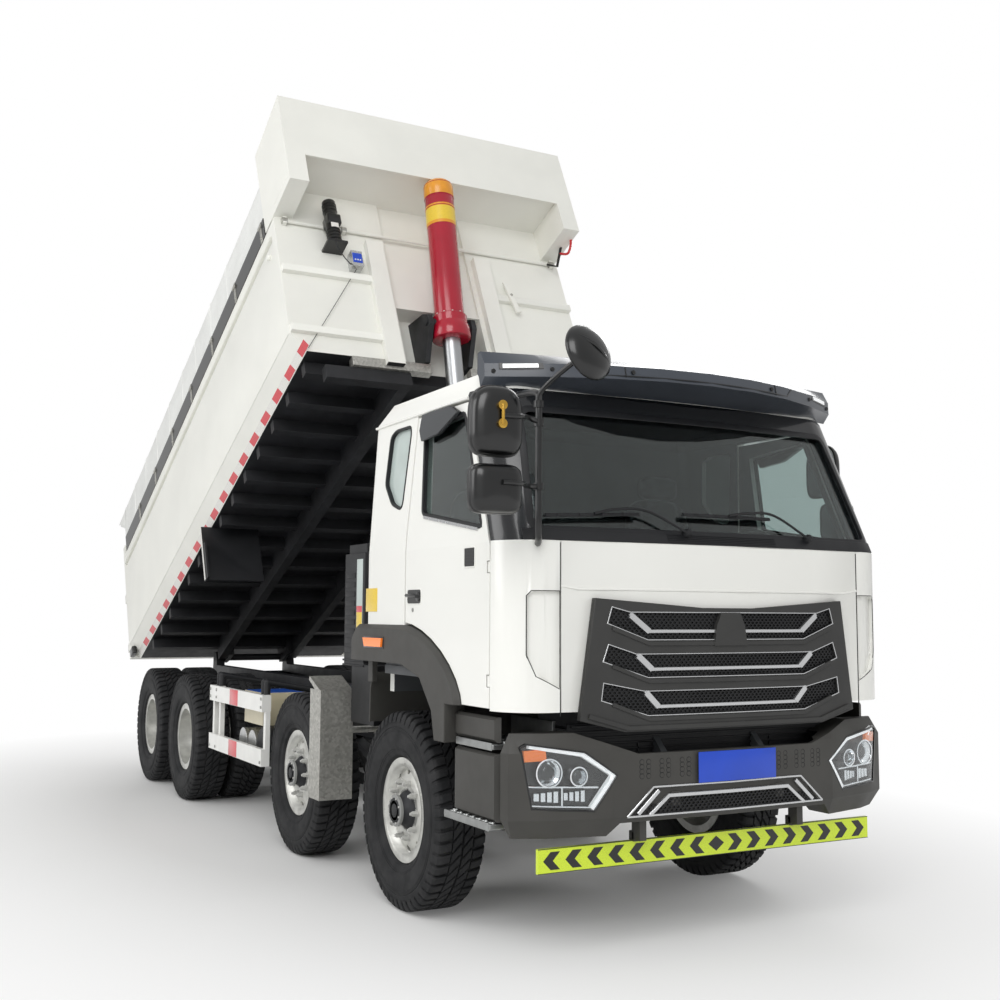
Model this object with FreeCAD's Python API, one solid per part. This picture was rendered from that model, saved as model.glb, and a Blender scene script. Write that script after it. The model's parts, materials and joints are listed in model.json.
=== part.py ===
import FreeCAD, Part
import math
import os

# Eight-wheel rear tipper, millimetres. +X is the truck's left, -Y its front, +Z up, tyres on Z = 0.
# Lengths along the truck are counted from the first axle, and save() moves them into the part's own frame.

V = FreeCAD.Vector

# ---- driving dimensions ------------------------------------------------------------------------
# axles and wheels
axle_gap_12 = 1800.0
axle_gap_23 = 2800.0
axle_gap_34 = 1350.0
front_track = 2040.0
rear_track = 1870.0
twin_spacing = 345.0
tyre_radius = 550.0
tyre_width = 300.0
tyre_facets = 24
rim_half_width = 110.0
rim_seat_radius = 255.0
rim_flange_radius = 290.0
rim_wall = 12.0
disc_wall = 14.0
hub_radius = 105.0
hub_bore_gap = 0.06
front_spring_rise = 150.0
rear_spring_x = 490.0
rear_pivot_z = 540.0
rear_pivot_radius = 50.0
shaft_front_z = 690.0
shaft_radius = 45.0
gearbox_rear = 960.0
spindle_radius = 45.0
rear_spindle_radius = 62.0
drum_radius = 190.0
hand_hole_radius = 20.0
hand_hole_circle = 217.0
hand_holes = 10
drum_wall = 20.0
kingpin_x = 860.0
kingpin_radius = 22.0
knuckle_gap = 2.0

# frame
rail_outer_x = 430.0
rail_width = 85.0
rail_height = 300.0
rail_wall = 8.0
rail_top = 1020.0
frame_front = -1300.0
frame_rear = 6650.0
sill_height = 75.0

# tipping body
bed_tilt = 24.6
bed_hinge_y = 6584.0
bed_hinge_z = 1173.0
bed_floor_rise = 130.0
bed_half_width = 1250.0
bed_front = 5360.0
bed_rear = -300.0
bed_wall = 60.0
recess_half = 360.0
recess_back = 5200.0
recess_top = 510.0
bed_floor = 12.0
bed_side_height = 1220.0
bed_chamfer = 150.0
bed_beam_height = 200.0
bed_cross_height = 100.0
hinge_pin_radius = 35.0
running_gap = 0.06
hood_reach = 420.0
hood_top = 2080.0
hood_leg_bottom = 1240.0
hood_wall = 12.0
hood_under = 1538.0
hood_leg_width = 150.0
shaft_stand_off = 20.0
tarp_height = 1980.0
tarp_wall = 8.0
tarp_rail_top = 1395.0
tarp_rear = -850.0

# tailgate
gate_hinge_s = -285.0
gate_hinge_h = 1450.0
gate_wall = 80.0
gate_gap = 8.0
gate_side_gap = 12.0
gate_pin_radius = 18.0

# hoist
foot_y = 1150.0
foot_z = 900.0
trunnion_s = 5495.0
trunnion_h = 300.0
hoist_radius = 115.0
hoist_above = 1200.0
hoist_below = 130.0
stage_radii = [69.0, 58.0, 47.0, 36.0]
stage_step = 60.0
slide_gap = 0.3

# cab
cab_bottom = 1190.0
cab_belt = 2000.0
cab_eave = 2780.0
roof_rise = 120.0
cab_half_width = 1220.0
cab_lean_in = 50.0
cab_front = -1470.0
cab_rear = 390.0
screen_rake = 340.0
cab_wall = 60.0
floor_bottom = 1300.0
floor_top = 1350.0
door_front = -1190.0
door_rear = -200.0
door_bottom = 1200.0
door_drop = 35.0
door_gap = 12.0
door_edge_drop = 15.0
door_hinge_inset = 12.0
glass_wall = 6.0
arch_fullness = 1.25
flare_low = 1375.0
flare_round = 26.0
corner_seam_x = 955.0
seam_depth = 8.0
slot_depth = 16.0
corner_slot = [(952, 1764), (1095, 1762), (1120, 1740), (1120, 1450), (1060, 1350), (952, 1300)]
pivot_y = -1380.0
pivot_z = 900.0
pivot_arm_x = 314.0
door_hinge_levels = (1330.0, 1880.0)
door_pin_radius = 5.0
steering_centre = (620.0, -870.0, 1942.0)
column_axis = (0.0, 230.0, 130.0)

# front end
visor_half = 1165.0
visor_back = -940.0
visor_sweep = 0.82
grille_depth = 34.0
tier_floor = 12.0
bumper_front = -1500.0
bumper_half_width = 1220.0
bumper_bottom = 600.0
bumper_top = 1090.0
bumper_wall = 60.0
bumper_dip = 106.0
bumper_lift = 60.0
intake_depth = 14.0
lamp_depth = 8.0
mirror_front = -1850.0
mirror_reach = 1530.0
mirror_width = 260.0
folded_reach = 1297.0
folded_depth = 65.0

# ---- values worked out from them ----------------------------------------------------------------
axle_y = [0.0, axle_gap_12, axle_gap_12 + axle_gap_23, axle_gap_12 + axle_gap_23 + axle_gap_34]
hub_z = tyre_radius
rail_bottom = rail_top - rail_height
hood_front = bed_front + hood_reach
rail_inner_x = rail_outer_x - rail_width
cab_roof = cab_eave + roof_rise
door_top = cab_eave - door_drop
sill_top = rail_top + sill_height
floor_z = bed_hinge_z + bed_floor_rise
tilt = math.radians(bed_tilt)
gate_reach = -tarp_rear * math.cos(tilt) + (tarp_height + bed_floor_rise) * math.sin(tilt)
rear_reach = bed_hinge_y + gate_reach
rail_mid_x = (rail_outer_x + rail_inner_x) / 2
web_inner_x = rail_outer_x - rail_wall
beam_top = 465.0
front_spring_low = beam_top + slide_gap
rear_seat_top = hub_z + 110
bogie_mid = (axle_y[2] + axle_y[3]) / 2
gate_outer = bed_rear - gate_gap
frame_shift = -(mirror_front + rear_reach) / 2
side_shift = (mirror_reach - folded_reach) / 2


# ---- small helpers --------------------------------------------------------------------------------
def box(x0, x1, y0, y1, z0, z1):
    return Part.makeBox(x1 - x0, y1 - y0, z1 - z0, V(x0, y0, z0))


def rod(a, b, radius):
    a = V(*a)
    b = V(*b)
    return Part.makeCylinder(radius, (b - a).Length, a, b - a)


def pipe(a, b, radius, bore):
    return rod(a, b, radius).cut(rod(a, b, bore))


def face_of(points):
    return Part.Face(Part.makePolygon([V(*p) for p in points] + [V(*points[0])]))


def prism_x(points, x0, x1):
    """A polygon of (y, z) points carried from x0 to x1."""
    return face_of([(x0, y, z) for y, z in points]).extrude(V(x1 - x0, 0, 0))


def prism_y(points, y0, y1):
    """A polygon of (x, z) points carried from y0 to y1."""
    return face_of([(x, y0, z) for x, z in points]).extrude(V(0, y1 - y0, 0))


def prism_z(points, z0, z1):
    """A polygon of (x, y) points carried from z0 to z1."""
    return face_of([(x, y, z0) for x, y in points]).extrude(V(0, 0, z1 - z0))


def fuse(shapes):
    whole = shapes[0]
    if len(shapes) > 1:
        whole = whole.multiFuse(shapes[1:])
    return whole.removeSplitter()


def mirror(shape):
    return shape.mirror(V(0, 0, 0), V(1, 0, 0))


def both_sides(shape):
    return [shape, mirror(shape)]


def raised(shape):
    """Turn a piece drawn with the body down up to the angle the body stands at."""
    return shape.rotated(V(0, bed_hinge_y, bed_hinge_z), V(1, 0, 0), -bed_tilt)


def save(node, shapes):
    solids = []
    for shape in shapes:
        solids += shape.Solids
    whole = Part.makeCompound(solids)
    whole.translate(V(side_shift, frame_shift, 0))
    whole.exportStep("parts/%s.step" % node)
    print(node, len(solids), "solids", round(whole.Volume / 1e9, 4), "m3", whole.isValid())


def bed_box(x0, x1, s0, s1, h0, h1):
    """A box in the body: s counts forwards from the hinge and h up from the floor's underside."""
    return box(x0, x1, bed_hinge_y - s1, bed_hinge_y - s0, floor_z + h0, floor_z + h1)


def bed_prism(points, x0, x1):
    """A polygon of (s, h) points carried from x0 to x1."""
    return prism_x([(bed_hinge_y - s, floor_z + h) for s, h in points], x0, x1)


def bed_profile(points, s0, s1):
    """A polygon of (x, h) points carried from s0 to s1."""
    return prism_y([(x, floor_z + h) for x, h in points], bed_hinge_y - s1, bed_hinge_y - s0)


# ---- wheels and axles -------------------------------------------------------------------------------
def faceted_ring(profile, x, y, z):
    """A closed profile of (radius, x) points turned in flat steps about the wheel's axis."""
    step = 2 * math.pi / tyre_facets
    rings = []
    for i in range(tyre_facets):
        a = (i + 0.5) * step
        rings.append([V(x + px, y + r * math.sin(a), z - r * math.cos(a)) for r, px in profile])
    faces = []
    for i in range(tyre_facets):
        here = rings[i]
        there = rings[(i + 1) % tyre_facets]
        for j in range(len(profile)):
            k = (j + 1) % len(profile)
            faces.append(Part.Face(Part.makePolygon([here[j], here[k], there[k], there[j], here[j]])))
    return Part.makeSolid(Part.makeShell(faces))


def tyre(x, y):
    flat = 1 / math.cos(math.pi / tyre_facets)
    outer = tyre_radius * flat
    half = tyre_width / 2
    seat = (rim_seat_radius + 0.3) * flat
    toe = rim_half_width - rim_wall - 0.3
    profile = [(seat, -toe), (rim_flange_radius * flat, -toe), (outer - 150, -half), (outer - 45, -half + 12),
               (outer, -half + 35), (outer, half - 35), (outer - 45, half - 12), (outer - 150, half),
               (rim_flange_radius * flat, toe), (seat, toe)]
    return faceted_ring(profile, x, y, hub_z)


def turned(points, x, y):
    """A solid of revolution about the axle line from (x, radius) points."""
    outline = face_of([(x + px, y, hub_z + r) for px, r in points])
    return outline.revolve(V(x, y, hub_z), V(1, 0, 0), 360)


def rim(x, y):
    half = rim_half_width
    seat = rim_seat_radius
    wall = rim_wall
    flange = rim_flange_radius
    points = [(-half, seat - wall), (half, seat - wall), (half, flange), (half - wall, flange),
              (half - wall, seat), (-half + wall, seat), (-half + wall, flange), (-half, flange)]
    return turned(points, x, y)


def hand_holed(wheel, x0, x1, y):
    """Round hand holes through the sloping part of a disc, clear of the drum."""
    for i in range(hand_holes):
        a = 2 * math.pi * (i + 0.5) / hand_holes
        hole_y = y + hand_hole_circle * math.cos(a)
        hole_z = hub_z + hand_hole_circle * math.sin(a)
        wheel = wheel.cut(rod((x0, hole_y, hole_z), (x1, hole_y, hole_z), hand_hole_radius))
    return wheel


def front_wheel(y):
    """Rim, bulged disc, hub and brake drum of the left wheel of a steered axle."""
    x = front_track / 2
    bore = spindle_radius + hub_bore_gap
    disc = turned([(60, bore + 20), (74, bore + 20), (95, 165), (60, rim_seat_radius - rim_wall + 1),
                   (40, rim_seat_radius - rim_wall + 1), (78, 160)], x, y)
    hub = turned([(-70, bore), (140, bore), (140, 0), (165, 0), (165, 70), (120, 82), (90, hub_radius), (60, hub_radius),
                  (50, 80), (-70, 80)], x, y)
    drum = turned([(-75, drum_radius - drum_wall), (45, drum_radius - drum_wall), (45, 78), (62, 78),
                   (62, drum_radius), (-75, drum_radius)], x, y)
    return hand_holed(fuse([rim(x, y), disc, hub, drum]), x + 30, x + 110, y)


def rear_wheel(y):
    """Both rims of a left twin pair, their discs back to back, the hub and the brake drum."""
    x = rear_track / 2
    bore = rear_spindle_radius + hub_bore_gap
    seat = rim_seat_radius - rim_wall + 1
    outer_disc = turned([(0, bore + 25), (disc_wall, bore + 25), (disc_wall, 190), (75, seat), (60, seat),
                         (0, 196)], x, y)
    inner_disc = turned([(0, bore + 25), (-disc_wall, bore + 25), (-disc_wall, 190), (-75, seat), (-60, seat),
                         (0, 196)], x, y)
    hub = turned([(-240, bore), (120, bore), (120, 0), (150, 0), (150, 85), (60, hub_radius), (-30, hub_radius),
                  (-40, 95), (-240, 95)], x, y)
    drum = turned([(-260, drum_radius - drum_wall), (-40, drum_radius - drum_wall), (-40, 90), (-disc_wall, 90),
                   (-disc_wall, drum_radius), (-260, drum_radius)], x, y)
    half = twin_spacing / 2
    wheel = fuse([rim(x + half, y), rim(x - half, y), outer_disc, inner_disc, hub, drum])
    return hand_holed(wheel, x - 2, x + 90, y)


def knuckle(y):
    """Fork on the kingpin, brake plate and wheel spindle of a left steered wheel."""
    eye_low = hub_z - 50
    eye_high = hub_z + 50
    pin = rod((kingpin_x, y, eye_low - 35), (kingpin_x, y, eye_high + 35), kingpin_radius)
    lugs = []
    for low, high in ((eye_low - 35, eye_low - knuckle_gap), (eye_high + knuckle_gap, eye_high + 35)):
        lugs.append(rod((kingpin_x, y, low), (kingpin_x, y, high), 45))
        lugs.append(box(kingpin_x, kingpin_x + 75, y - 45, y + 45, low, high))
    web = box(kingpin_x + 55, kingpin_x + 75, y - 60, y + 60, eye_low - 35, eye_high + 35)
    plate = rod((kingpin_x + 65, y, hub_z), (kingpin_x + 75, y, hub_z), drum_radius - drum_wall - 5)
    spindle = rod((kingpin_x + 70, y, hub_z), (front_track / 2 + 135, y, hub_z), spindle_radius)
    return fuse([pin] + lugs + [web, plate, spindle])


def front_beam(y):
    """Dropped beam with an eye for each kingpin."""
    end = kingpin_x - 20
    seat_x = rail_mid_x
    top = hub_z + 40
    points = [(-end, hub_z - 45), (-seat_x - 130, 395), (seat_x + 130, 395), (end, hub_z - 45), (end, top),
              (seat_x + 110, beam_top), (-seat_x - 110, beam_top), (-end, top)]
    beam = prism_y(points, y - 48, y + 48)
    whole = [beam]
    for side in (-1, 1):
        whole.append(rod((side * kingpin_x, y, hub_z - 50), (side * kingpin_x, y, hub_z + 50), 48))
    shape = fuse(whole)
    for side in (-1, 1):
        shape = shape.cut(rod((side * kingpin_x, y, hub_z - 60), (side * kingpin_x, y, hub_z + 60),
                              kingpin_radius + running_gap))
        relief = rod((side * kingpin_x, y, hub_z - 120), (side * kingpin_x, y, hub_z - 50), 60)
        shape = shape.cut(relief)
    return shape


def rear_axle(y):
    """Axle tube with its round drive housing, brake plates and wheel spindles."""
    inner = rear_track / 2 - 300
    whole = [rod((-inner, y, hub_z), (inner, y, hub_z), 85)]
    whole.append(rod((-(rear_track / 2 + 110), y, hub_z), (rear_track / 2 + 110, y, hub_z), rear_spindle_radius))
    whole.append(rod((-150, y, hub_z), (150, y, hub_z), 215))
    whole.append(rod((0, y - 300, hub_z), (0, y + 215, hub_z), 110))
    for side in (-1, 1):
        face = side * (rear_track / 2 - 275)
        whole.append(rod((face, y, hub_z), (face + side * 12, y, hub_z), drum_radius - drum_wall - 5))
        seat_x = side * rear_spring_x
        whole.append(box(seat_x - 50, seat_x + 50, y - 60, y + 60, hub_z + 60, rear_seat_top))
    return fuse(whole)


def leaf_pack(x, y, half, count, thick, low, rise, upright):
    """Stacked leaves, each shorter than the one before, bent to a parabola, as one stepped outline."""
    turn = 1 if upright else -1
    main = low + count * thick if upright else low
    ends = [half * (1 - 0.75 * i / count) for i in range(count)] + [0]
    long_face = []
    stairs = []
    for j in range(9):
        u = -half + half * j / 8
        long_face.append((u, main + rise * (u / half) ** 2))
    for i in range(count):
        for j in range(3):
            u = -ends[i] + (ends[i] - ends[i + 1]) * j / 2
            stairs.append((u, main - turn * (i + 1) * thick + rise * (u / half) ** 2))
    front = stairs[::-1] + long_face
    back = [(-u, z) for u, z in front[-2::-1]]
    return prism_x([(y + u, z) for u, z in front + back[:-1]], x - 40, x + 40)


# ---- frame ---------------------------------------------------------------------------------------------
def build_frame():
    pieces = []
    for side in (-1, 1):
        x0, x1 = sorted((side * rail_inner_x, side * rail_outer_x))
        rail = box(x0, x1, frame_front, frame_rear, rail_bottom, rail_top)
        h0, h1 = sorted((side * (rail_inner_x - 1), side * web_inner_x))
        pieces.append(rail.cut(box(h0, h1, frame_front - 1, frame_rear + 1, rail_bottom + rail_wall,
                                   rail_top - rail_wall)))
        pieces.append(box(x0, x1, foot_y - 250, frame_rear, rail_top, sill_top))
        # ear that holds the body's hinge pin
        pieces.append(prism_x([(bed_hinge_y - 110, rail_top), (bed_hinge_y + 60, rail_top),
                               (bed_hinge_y + 60, bed_hinge_z), (bed_hinge_y + 30, bed_hinge_z + 60),
                               (bed_hinge_y - 30, bed_hinge_z + 60), (bed_hinge_y - 60, bed_hinge_z)], x0, x1))
        # cab pivot bracket ahead of each rail
        pieces.append(prism_x([(frame_front + 40, rail_bottom + 20), (frame_front + 40, rail_top - 60),
                               (frame_front - 40, rail_top - 60), (pivot_y - 35, pivot_z + 35),
                               (pivot_y - 35, pivot_z - 35), (frame_front - 40, rail_bottom + 20)],
                              side * rail_mid_x - 20, side * rail_mid_x + 20))
        # rear cab rest
        pieces.append(box(x0, x1, 200, 280, rail_top - 5, floor_bottom - slide_gap))
        # arm that carries the bumper
        pieces.append(box(side * 330 - 30, side * 330 + 30, bumper_front + 50, frame_front + 10, rail_bottom,
                          rail_bottom + 80))
        # spring hangers
        for y in (axle_y[0], axle_y[1]):
            for end in (-1, 1):
                y0, y1 = sorted((y + end * 740, y + end * 840))
                for x in (rail_mid_x - 52, rail_mid_x + 40 + slide_gap):
                    q0, q1 = sorted((side * x, side * (x + 12 - slide_gap)))
                    pieces.append(box(q0, q1, y0, y1, 640, rail_bottom + 40))
        # bracket and stub that the rear springs rock on
        q0, q1 = sorted((side * (rail_outer_x - 30), side * rail_outer_x))
        pieces.append(prism_x([(bogie_mid - 250, rail_bottom + 60), (bogie_mid + 250, rail_bottom + 60),
                               (bogie_mid + 80, rear_pivot_z - 70), (bogie_mid - 80, rear_pivot_z - 70)], q0, q1))
        pieces.append(rod((side * (rail_outer_x - 15), bogie_mid, rear_pivot_z),
                          (side * (rear_spring_x + 60), bogie_mid, rear_pivot_z), rear_pivot_radius))
    for y in (frame_front + 150, axle_y[1] + 600, axle_y[1] + 1500, bogie_mid - 1125, bogie_mid, frame_rear - 250):
        pieces.append(box(-web_inner_x - 2, web_inner_x + 2, y - 40, y + 40, rail_bottom + 60, rail_top - 60))
    # hoist foot: a cross member with two ears
    pieces.append(box(-web_inner_x - 2, web_inner_x + 2, foot_y - 100, foot_y + 100, rail_bottom + 25,
                      rail_bottom + 55))
    for x in (-85, 85):
        pieces.append(prism_x([(foot_y - 90, rail_bottom + 40), (foot_y + 90, rail_bottom + 40),
                               (foot_y + 50, foot_z + 50), (foot_y - 50, foot_z + 50)], x - 15, x + 15))
    # front and rear closing members
    pieces.append(box(-rail_outer_x, rail_outer_x, frame_front, frame_front + 20, rail_bottom, pivot_z - 45))
    pieces.append(box(-rail_outer_x, rail_outer_x, frame_rear - 20, frame_rear, rail_bottom, rail_top))
    whole = fuse(pieces)
    for side in (-1, 1):
        whole = whole.cut(rod((side * (rail_inner_x - 45), bed_hinge_y, bed_hinge_z),
                              (side * (rail_outer_x + 30), bed_hinge_y, bed_hinge_z),
                              hinge_pin_radius + running_gap))
        whole = whole.cut(rod((side * (rail_mid_x - 60), pivot_y, pivot_z),
                              (side * (rail_mid_x + 60), pivot_y, pivot_z), 25 + running_gap))
        # four bolt holes for a tow coupling
        for z in (rail_bottom + 100, rail_bottom + 200):
            whole = whole.cut(rod((side * 80, frame_rear - 40, z), (side * 80, frame_rear + 20, z), 10.5))
    return whole


def build_springs():
    shapes = []
    for side in (-1, 1):
        for y in (axle_y[0], axle_y[1]):
            shapes.append(leaf_pack(side * rail_mid_x, y, 800, 7, 14, front_spring_low, front_spring_rise, True))
        seat = rear_seat_top + slide_gap
        pack = leaf_pack(side * rear_spring_x, bogie_mid, 735, 7, 14, seat, 0, False)
        saddle = box(side * rear_spring_x - 50, side * rear_spring_x + 50, bogie_mid - 100, bogie_mid + 100,
                     rear_pivot_z - 70, seat + 20)
        bore = rod((side * 300, bogie_mid, rear_pivot_z), (side * 700, bogie_mid, rear_pivot_z),
                   rear_pivot_radius + slide_gap)
        shapes.append(fuse([pack, saddle.cut(bore)]))
    return shapes


# ---- chassis fittings ---------------------------------------------------------------------------------
def build_engine():
    inner = rail_inner_x - 30
    web = web_inner_x - slide_gap
    block = box(-inner, inner, -780, 380, 640, 1130)
    gearbox = box(-230, 230, 380, gearbox_rear, 620, 900)
    mounts = []
    for y in (-600, 150):
        mounts.append(box(-web, web, y, y + 90, rail_bottom + rail_wall + slide_gap, rail_bottom + 90))
    return fuse([block, gearbox] + mounts)


def build_shafts():
    starts = [(0, gearbox_rear + slide_gap, shaft_front_z), (0, axle_y[2] + 215 + slide_gap, hub_z)]
    ends = [(0, axle_y[2] - 300 - slide_gap, hub_z), (0, axle_y[3] - 300 - slide_gap, hub_z)]
    shafts = []
    for start, end in zip(starts, ends):
        whole = rod((0, start[1] - 20, start[2]), (0, end[1] + 20, end[2]), shaft_radius)
        shafts.append(whole.common(box(-100, 100, start[1], end[1], 0, 1000)))
    return shafts


def build_tanks():
    out = rail_outer_x
    fuel = box(out + 40, 1130, 2490, 3560, 430, 990)
    fuel = fuel.makeFillet(90, [e for e in fuel.Edges if abs(e.tangentAt(e.FirstParameter).y) > 0.9])
    straps = [box(out + slide_gap, out + 60, y, y + 60, rail_bottom, rail_top - 20) for y in (2680, 3300)]
    left = fuse([fuel] + straps)
    air = [rod((-out - 20, y, 640), (-1120, y, 640), 105) for y in (2920, 3160)]
    urea = box(-1100, -out - 20, 2720, 3200, 790, 1040)
    arm = box(-out - 40, -out - slide_gap, 2740, 3180, 740, 960)
    muffler = rod((-out - 20, 2640, 640), (-1120, 2640, 640), 148)
    bridge = box(-out - 60, -out - 10, 2600, 3160, 620, 800)
    right = fuse(air + [urea, arm, muffler, bridge])
    return [left, right]


def build_side_guards():
    """Two boards on posts each side, hung from the frame by pairs of bent tubes."""
    parts = []
    y0 = axle_y[1] + 550
    y1 = axle_y[2] - 810
    x0 = 1190
    x1 = 1225
    for low in (925, 530):
        parts.append(box(x0, x1, y0, y1, low, low + 125))
    for y in (y0, y1 - 230, y1 - 50):
        parts.append(box(x0 - 30, x0 + 5, y, y + 50, 530, 1050))
    for y in (y0 + 25, y0 + 95, y1 - 205, y1 - 135):
        parts.append(rod((rail_outer_x + slide_gap, y, 1005), (x0 - 10, y, 1140), 24))
        parts.append(rod((x0 - 10, y, 1140), (x0 - 10, y, 1000), 24))
        parts.append(Part.makeSphere(24, V(x0 - 10, y, 1140)))
        parts.append(box(x0 - 34, x0 + 5, y - 24, y + 24, 930, 1045))
    guard = fuse(parts).cut(box(0, rail_outer_x + slide_gap, 0, frame_rear, 0, 2 * rail_top))
    return both_sides(guard)


def build_mudguards():
    y = axle_y[1] - 700
    parts = [prism_x([(y - 30, 460), (y, 460), (y, 1120), (y + 200, 1215), (y + 190, 1240), (y - 30, 1150)],
                     1016, 1240)]
    parts.append(box(1215, 1240, y - 30, y + 170, 460, 1160))
    parts.append(rod((rail_outer_x + slide_gap, y - 15, 900), (1030, y - 15, 900), 22))
    return both_sides(fuse(parts))


def build_intake():
    column = box(-1060, -820, 800, 1140, 1320, 2040)
    cap = box(-1040, -840, 820, 1120, 2040, 2100)
    filter_box = box(-1060, -560, 620, 1000, 960, 1330)
    arm = box(-700, -rail_outer_x - slide_gap, 660, 820, 900, 985)
    return fuse([column, cap, filter_box, arm])


# ---- front end -------------------------------------------------------------------------------------------
def bumper_section(z, inset):
    w = bumper_half_width - inset
    f = bumper_front + inset
    half = [(0, f), (700, f + 25), (w - 170, f + 100), (w - 30, f + 170), (w, f + 280)]
    points = [(-x, y, z) for x, y in half[:0:-1]] + [(x, y, z) for x, y in half]
    return Part.makePolygon([V(*p) for p in points] + [V(*points[0])])


def bumper_body(inset):
    levels = [(bumper_bottom + inset, 40 + inset), (bumper_bottom + 90, inset), (bumper_top - 90, inset),
              (bumper_top - inset, 35 + inset)]
    return Part.makeLoft([bumper_section(z, i) for z, i in levels], True, True)


lamp_corners = [(1139, 1028), (1112, 1044), (833, 1002), (670, 888), (788, 723), (1091, 742)]


def lamp_outline(grow):
    """Headlamp's edge as (x, z) points, moved out from its middle."""
    mid_x = sum(x for x, z in lamp_corners) / len(lamp_corners)
    mid_z = sum(z for x, z in lamp_corners) / len(lamp_corners)
    points = []
    for x, z in lamp_corners:
        reach = math.hypot(x - mid_x, z - mid_z)
        points.append((x + grow * (x - mid_x) / reach, z + grow * (z - mid_z) / reach))
    return points


def build_bumper():
    shell = bumper_body(0).cut(bumper_body(bumper_wall))
    shell = shell.cut(box(-2000, 2000, bumper_front + 280 - 60, 0, 0, 2000))
    for side in (-1, 1):
        outline = [(side * x, z) for x, z in lamp_outline(slide_gap)]
        shell = shell.cut(prism_y(outline, -2000, 0))
    # trapezoid air intake, lowered middle of the top edge and raised middle of the bottom edge
    intake = prism_y([(-600, 682), (600, 682), (470, 828), (-470, 828)], -2000, bumper_front + 30)
    shell = shell.cut(intake.cut(bumper_body(intake_depth)))
    shell = shell.cut(prism_y([(-900, bumper_top + 10), (-550, bumper_top - bumper_dip), (550, bumper_top - bumper_dip),
                               (900, bumper_top + 10)], -2000, 0))
    shell = shell.cut(prism_y([(-720, bumper_bottom - 10), (-650, bumper_bottom + bumper_lift),
                               (650, bumper_bottom + bumper_lift), (720, bumper_bottom - 10)], -2000, 0))
    # room behind the front wall for the cab's pivots
    shell = shell.cut(box(-620, 620, bumper_front + 45, 0, bumper_bottom + 100, 2000))
    hangers = [box(side * 500 - 20, side * 500 + 20, bumper_front + 60, bumper_front + 130 - slide_gap, 500,
                   bumper_bottom + bumper_lift + 40) for side in (-1, 1)]
    seats = [box(side * 330 - 28, side * 330 + 28, bumper_front + 20, bumper_front + 50 - slide_gap, 725, 795)
             for side in (-1, 1)]
    return fuse([shell] + hangers + seats)


def build_board():
    return box(-1050, 1050, bumper_front + 130, bumper_front + 150, 440, 555)


def build_headlamps():
    """Lamp bodies that fill the bumper's openings, a little below its face."""
    lamps = []
    body = bumper_body(lamp_depth).cut(bumper_body(bumper_wall))
    body = body.cut(box(-2000, 2000, bumper_front + 280 - 60, 0, 0, 2000))
    for side in (-1, 1):
        outline = [(side * x, z) for x, z in lamp_outline(0)]
        lamps.append(body.common(prism_y(outline, -2000, 0)))
    return lamps


def build_steps():
    parts = [box(850, 870, -1200, -780, 600, 1130)]
    parts.append(box(850, 1200, -1200, -800, 1005, 1030))
    parts.append(box(850, 1215, -1200, -700, 630, 655))
    parts.append(box(rail_outer_x, 860, -1050, -950, 850, 930))
    parts.append(box(850, 870, -800, -700, 600, 700))
    return both_sides(fuse(parts))


# ---- cab ----------------------------------------------------------------------------------------------------
def cab_section(z, inset):
    """Plan outline of the cab at one height: flat sides, rounded corners and a bowed front."""
    share = max(0.0, (z - cab_belt) / (cab_eave - cab_belt))
    w = cab_half_width - cab_lean_in * min(share, 1.0) - inset
    f = cab_front + screen_rake * min(share, 1.0) + inset
    r = cab_rear - inset
    right = []
    p = [V(w - 60, r, z), V(w, r - 60, z), V(w, f + 270 - inset, z), V(w - 260 + inset, f + 50, z)]
    q = [V(-a.x, a.y, z) for a in p]
    edges = [Part.LineSegment(q[0], p[0]).toShape()]
    edges.append(Part.Arc(p[0], V(w - 17.6, r - 17.6, z), p[1]).toShape())
    edges.append(Part.LineSegment(p[1], p[2]).toShape())
    edges.append(Part.Arc(p[2], V(w - 70, f + 118, z), p[3]).toShape())
    edges.append(Part.Arc(p[3], V(0, f, z), q[3]).toShape())
    edges.append(Part.Arc(q[3], V(70 - w, f + 118, z), q[2]).toShape())
    edges.append(Part.LineSegment(q[2], q[1]).toShape())
    edges.append(Part.Arc(q[1], V(17.6 - w, r - 17.6, z), q[0]).toShape())
    return Part.Wire(edges)


def cab_body(inset, bottom, top_trim):
    levels = [(bottom, inset), (cab_belt, inset), (cab_eave - top_trim, inset), (cab_roof - inset, inset + 70)]
    return Part.makeLoft([cab_section(z, i) for z, i in levels], True, True)


def arch_outline(grow):
    """Outer edge of the wheel arch flare, as (y, z) points."""
    points = [(-890 - grow, 1000), (-890 - grow, 1200)]
    for i in range(9):
        a = math.radians(90 * i / 8)
        points.append((-200 - (690 + grow) * math.cos(a) ** arch_fullness,
                       1200 + (390 + grow) * math.sin(a) ** arch_fullness))
    points += [(470, 1590 + grow), (560 + grow, 1500), (560 + grow, 1000)]
    return points


def door_outline(grow, drop=0.0):
    """Side view of a door or its opening; drop lowers the point where the front edge starts to lean."""
    lean = (door_top - cab_belt + drop) / (cab_eave - cab_belt) * screen_rake
    points = [(door_front - grow, door_bottom - grow), (door_front - grow, cab_belt - drop),
              (door_front + lean - grow, door_top + grow), (door_rear - 50 + grow, door_top + grow),
              (door_rear + grow, 2100), (door_rear + grow, door_bottom - grow)]
    return points


def window_outline(grow):
    top = cab_eave - 125 + grow
    return [(-1100 - grow, 2078 - grow), (-385 + grow, 2192 - grow), (-345 + grow, top), (-830 - grow, top + 40)]


def quarter_outline(grow):
    top = cab_eave - 66 + grow
    return [(-105 - grow, 2262), (-70, 2243 - grow), (50, 2281 - grow), (164 + grow, 2405), (132 + grow, top - 30),
            (65, top), (-145 - grow, top), (-160 - grow, top - 40)]


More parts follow.
